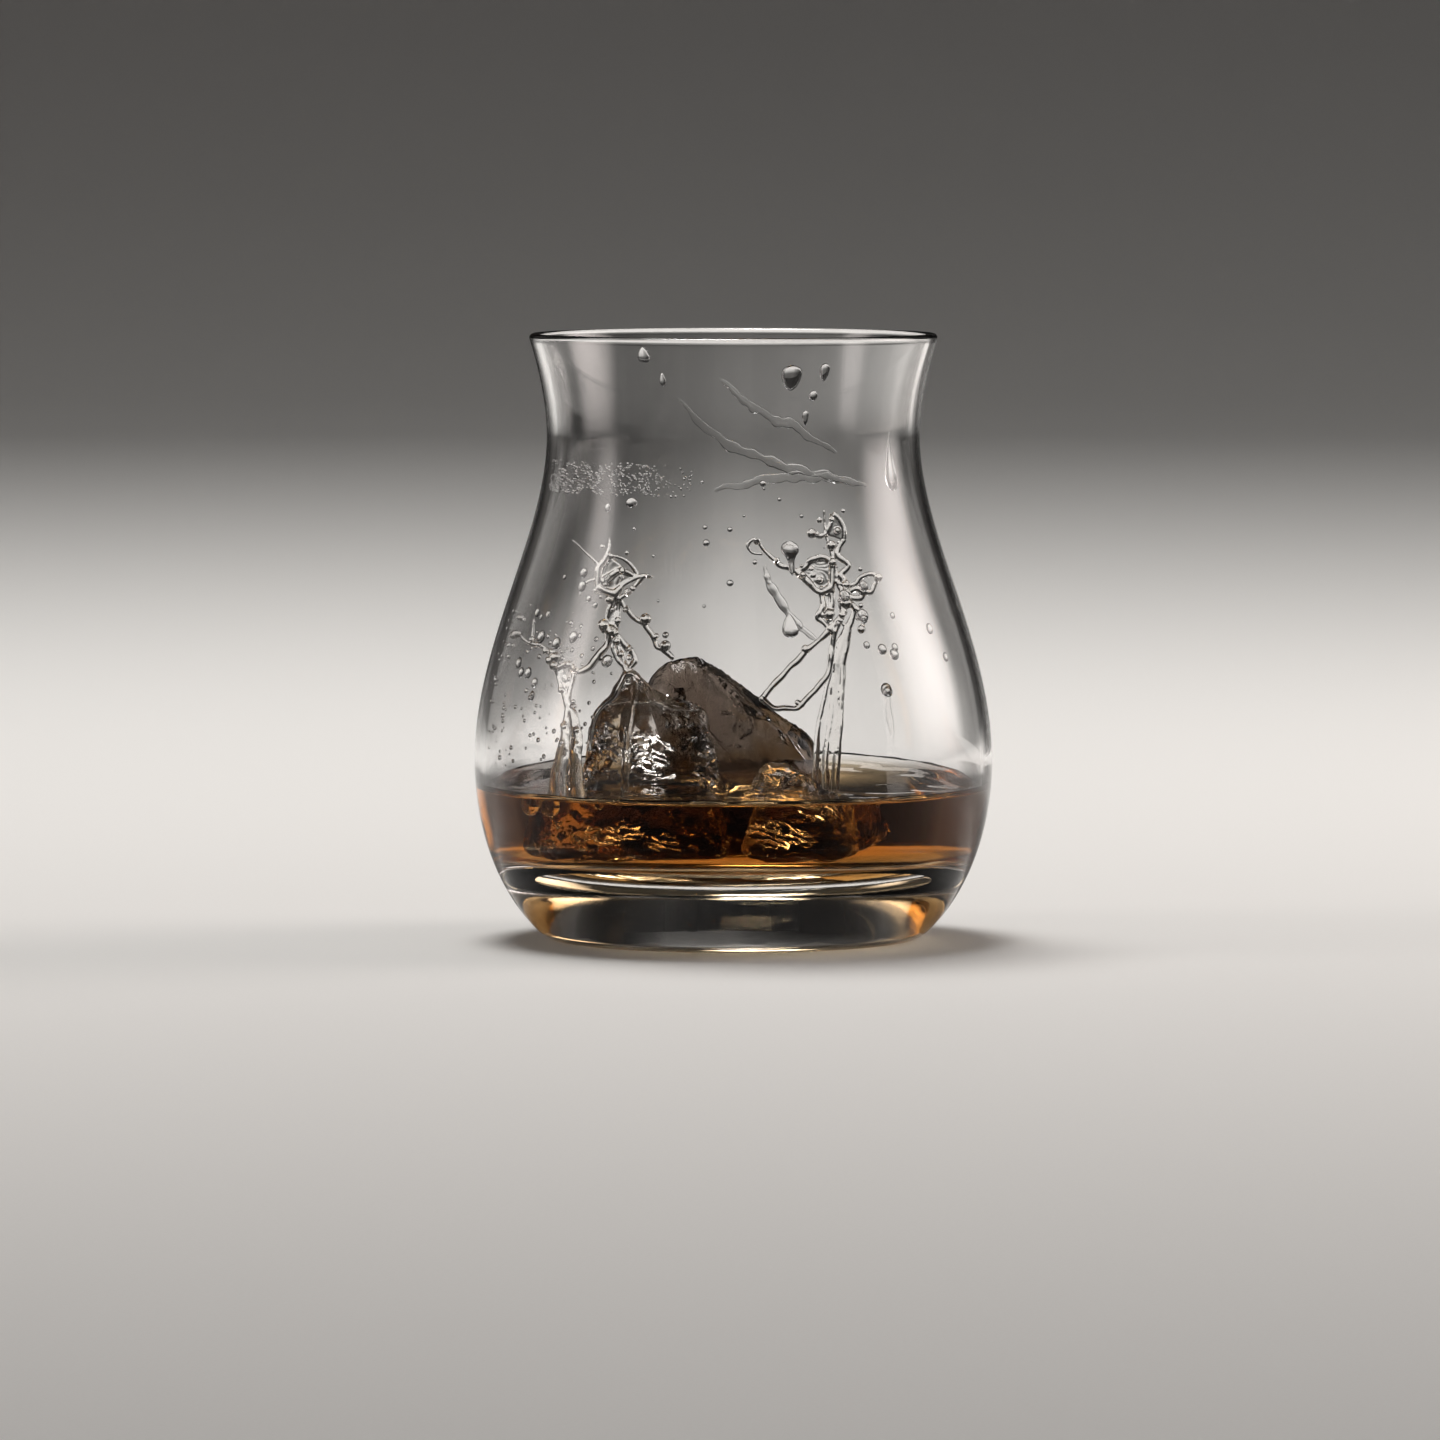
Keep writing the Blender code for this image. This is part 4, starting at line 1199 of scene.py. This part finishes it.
# bubbles along the shore, where whisky meets glass
shore = {"angles": (-96, 96), "sides": 120, "steps": 4, "reach": (0.25, 2.4), "each": 1.6e6,
         "sizes": (0.25, 0.85), "height": 0.8, "clumps": 120.0, "seed": 31}


def makeShoreBubbles(tree):
    sides, steps = shore["sides"], shore["steps"]
    points = []
    for side in range(sides + 1):
        angle = math.radians(between(*shore["angles"], side / sides))
        for step in range(steps + 1):
            inset = between(*shore["reach"], step / steps) * mm
            r = bowl - inset
            x, y = r * math.sin(angle), -r * math.cos(angle)
            climb = pool["meniscus"] * math.exp(-inset / pool["meniscusReach"])
            points.append(Vector((x, y, poolHeight(x, y) + climb)))
    scatterBeads("shoreBubbles", points, openGrid(sides, steps), shore, tree)


def streakTree():
    # a tube along a line on the wall, pressed to a low swell that fades out to both sides
    tree, given = startTree("wallStreak", {"Swell": "Float", "Bite": "Float", "Finish": "Material"})
    thick = namedValue(tree, "thick")
    wall = namedValue(tree, "wall")
    line = addNode(tree, "GeometryNodeMeshToCurve", links={"Mesh": given["Geometry"]})
    ring = addNode(tree, "GeometryNodeCurvePrimitiveCircle", values={"Resolution": 12, "Radius": 1.0})
    tube = addNode(tree, "GeometryNodeCurveToMesh", values={"Fill Caps": True},
                   links={"Curve": line.outputs[0], "Profile Curve": ring.outputs[0], "Scale": thick})
    spot = splitVector(tree, pointPosition(tree))
    level = joinVector(tree, {0: spot[0], 1: spot[1]})
    rise = joinVector(tree, {2: spot[2]})
    away = addNode(tree, "ShaderNodeVectorMath", {"operation": "LENGTH"}, links={0: level}).outputs["Value"]
    inward = maths(tree, "MINIMUM", maths(tree, "SUBTRACT", away, wall), 0.0)
    square = maths(tree, "MULTIPLY", inward, maths(tree, "DIVIDE", inward, thick))
    swelled = maths(tree, "MULTIPLY", square, given["Swell"])
    reach = maths(tree, "SUBTRACT", maths(tree, "ADD", wall, given["Bite"]), swelled)
    flat = addNode(tree, "ShaderNodeVectorMath", {"operation": "SCALE"},
                   links={0: level, "Scale": maths(tree, "DIVIDE", reach, away)})
    whole = addNode(tree, "ShaderNodeVectorMath", {"operation": "ADD"}, links={0: flat.outputs[0], 1: rise})
    endTree(tree, moveTo(tree, tube.outputs[0], whole.outputs[0]), given["Finish"])
    return tree


# edges of the film that runs back down the far wall: (degrees round from the front, height in mm)
streaks = {
    "streakHigh": [(198, 91.5), (189, 86.3), (178, 82.6), (162, 80.0), (141, 77.9), (131, 77.0)],
    "streakUpper": [(184, 94.6), (173, 89.9), (157, 86.4), (143, 82.8)],
    "streakMiddle": [(186, 75.8), (173, 76.8), (162, 78.2), (147, 78.1), (138, 77.4)],
    "streakArm": [(171, 62.4), (170, 58.7), (166, 54.4), (162, 50.8), (158, 49.0)],
    "streakLow": [(139, 41.5), (139, 36.6), (138, 31.8)],
}
streakLook = {"half": 0.8 * mm, "uneven": 0.6, "wander": 0.7 * mm, "wanderLength": 3.0 * mm, "swell": 0.003,
              "bite": 0.0003 * mm, "points": 90, "endGap": 0.03}


def makeStreak(name, tree):
    look = streakLook
    stops = streaks[name]
    points = []
    halves = []
    walls = []
    for i in range(look["points"]):
        share = i / (look["points"] - 1)
        first = min(int(share * (len(stops) - 1)), len(stops) - 2)
        part = share * (len(stops) - 1) - first
        degrees, height = [between(a, b, part) for a, b in zip(stops[first], stops[first + 1])]
        at = onWall(math.radians(degrees), height * mm, 0)
        z = at.z + look["wander"] * noise.noise(at / look["wanderLength"])
        points.append(onWall(math.radians(degrees), z, 0))
        fade = math.sqrt(math.sin(math.pi * (look["endGap"] + (1 - 2 * look["endGap"]) * share)))
        uneven = look["uneven"] * noise.noise(at / look["wanderLength"] * 2)
        halves.append(look["half"] * fade * (1 + uneven))
        walls.append(points[-1].xy.length)
    line = rawMesh(points, [], [(i, i + 1) for i in range(len(points) - 1)])
    markPoints(line, "thick", halves)
    markPoints(line, "wall", walls)
    made = runNodes(line, tree, {"Swell": look["swell"], "Bite": look["bite"], "Finish": water})
    settle(pieceFromMesh(name, made, water), drinkBody, "drop")


streak = streakTree()
for streakName in streaks:
    makeStreak(streakName, streak)
print("streaks run")

beads = beadTree()
for clingingName in clinging:
    makeClinging(clingingName, beads)
makeShoreBubbles(beads)
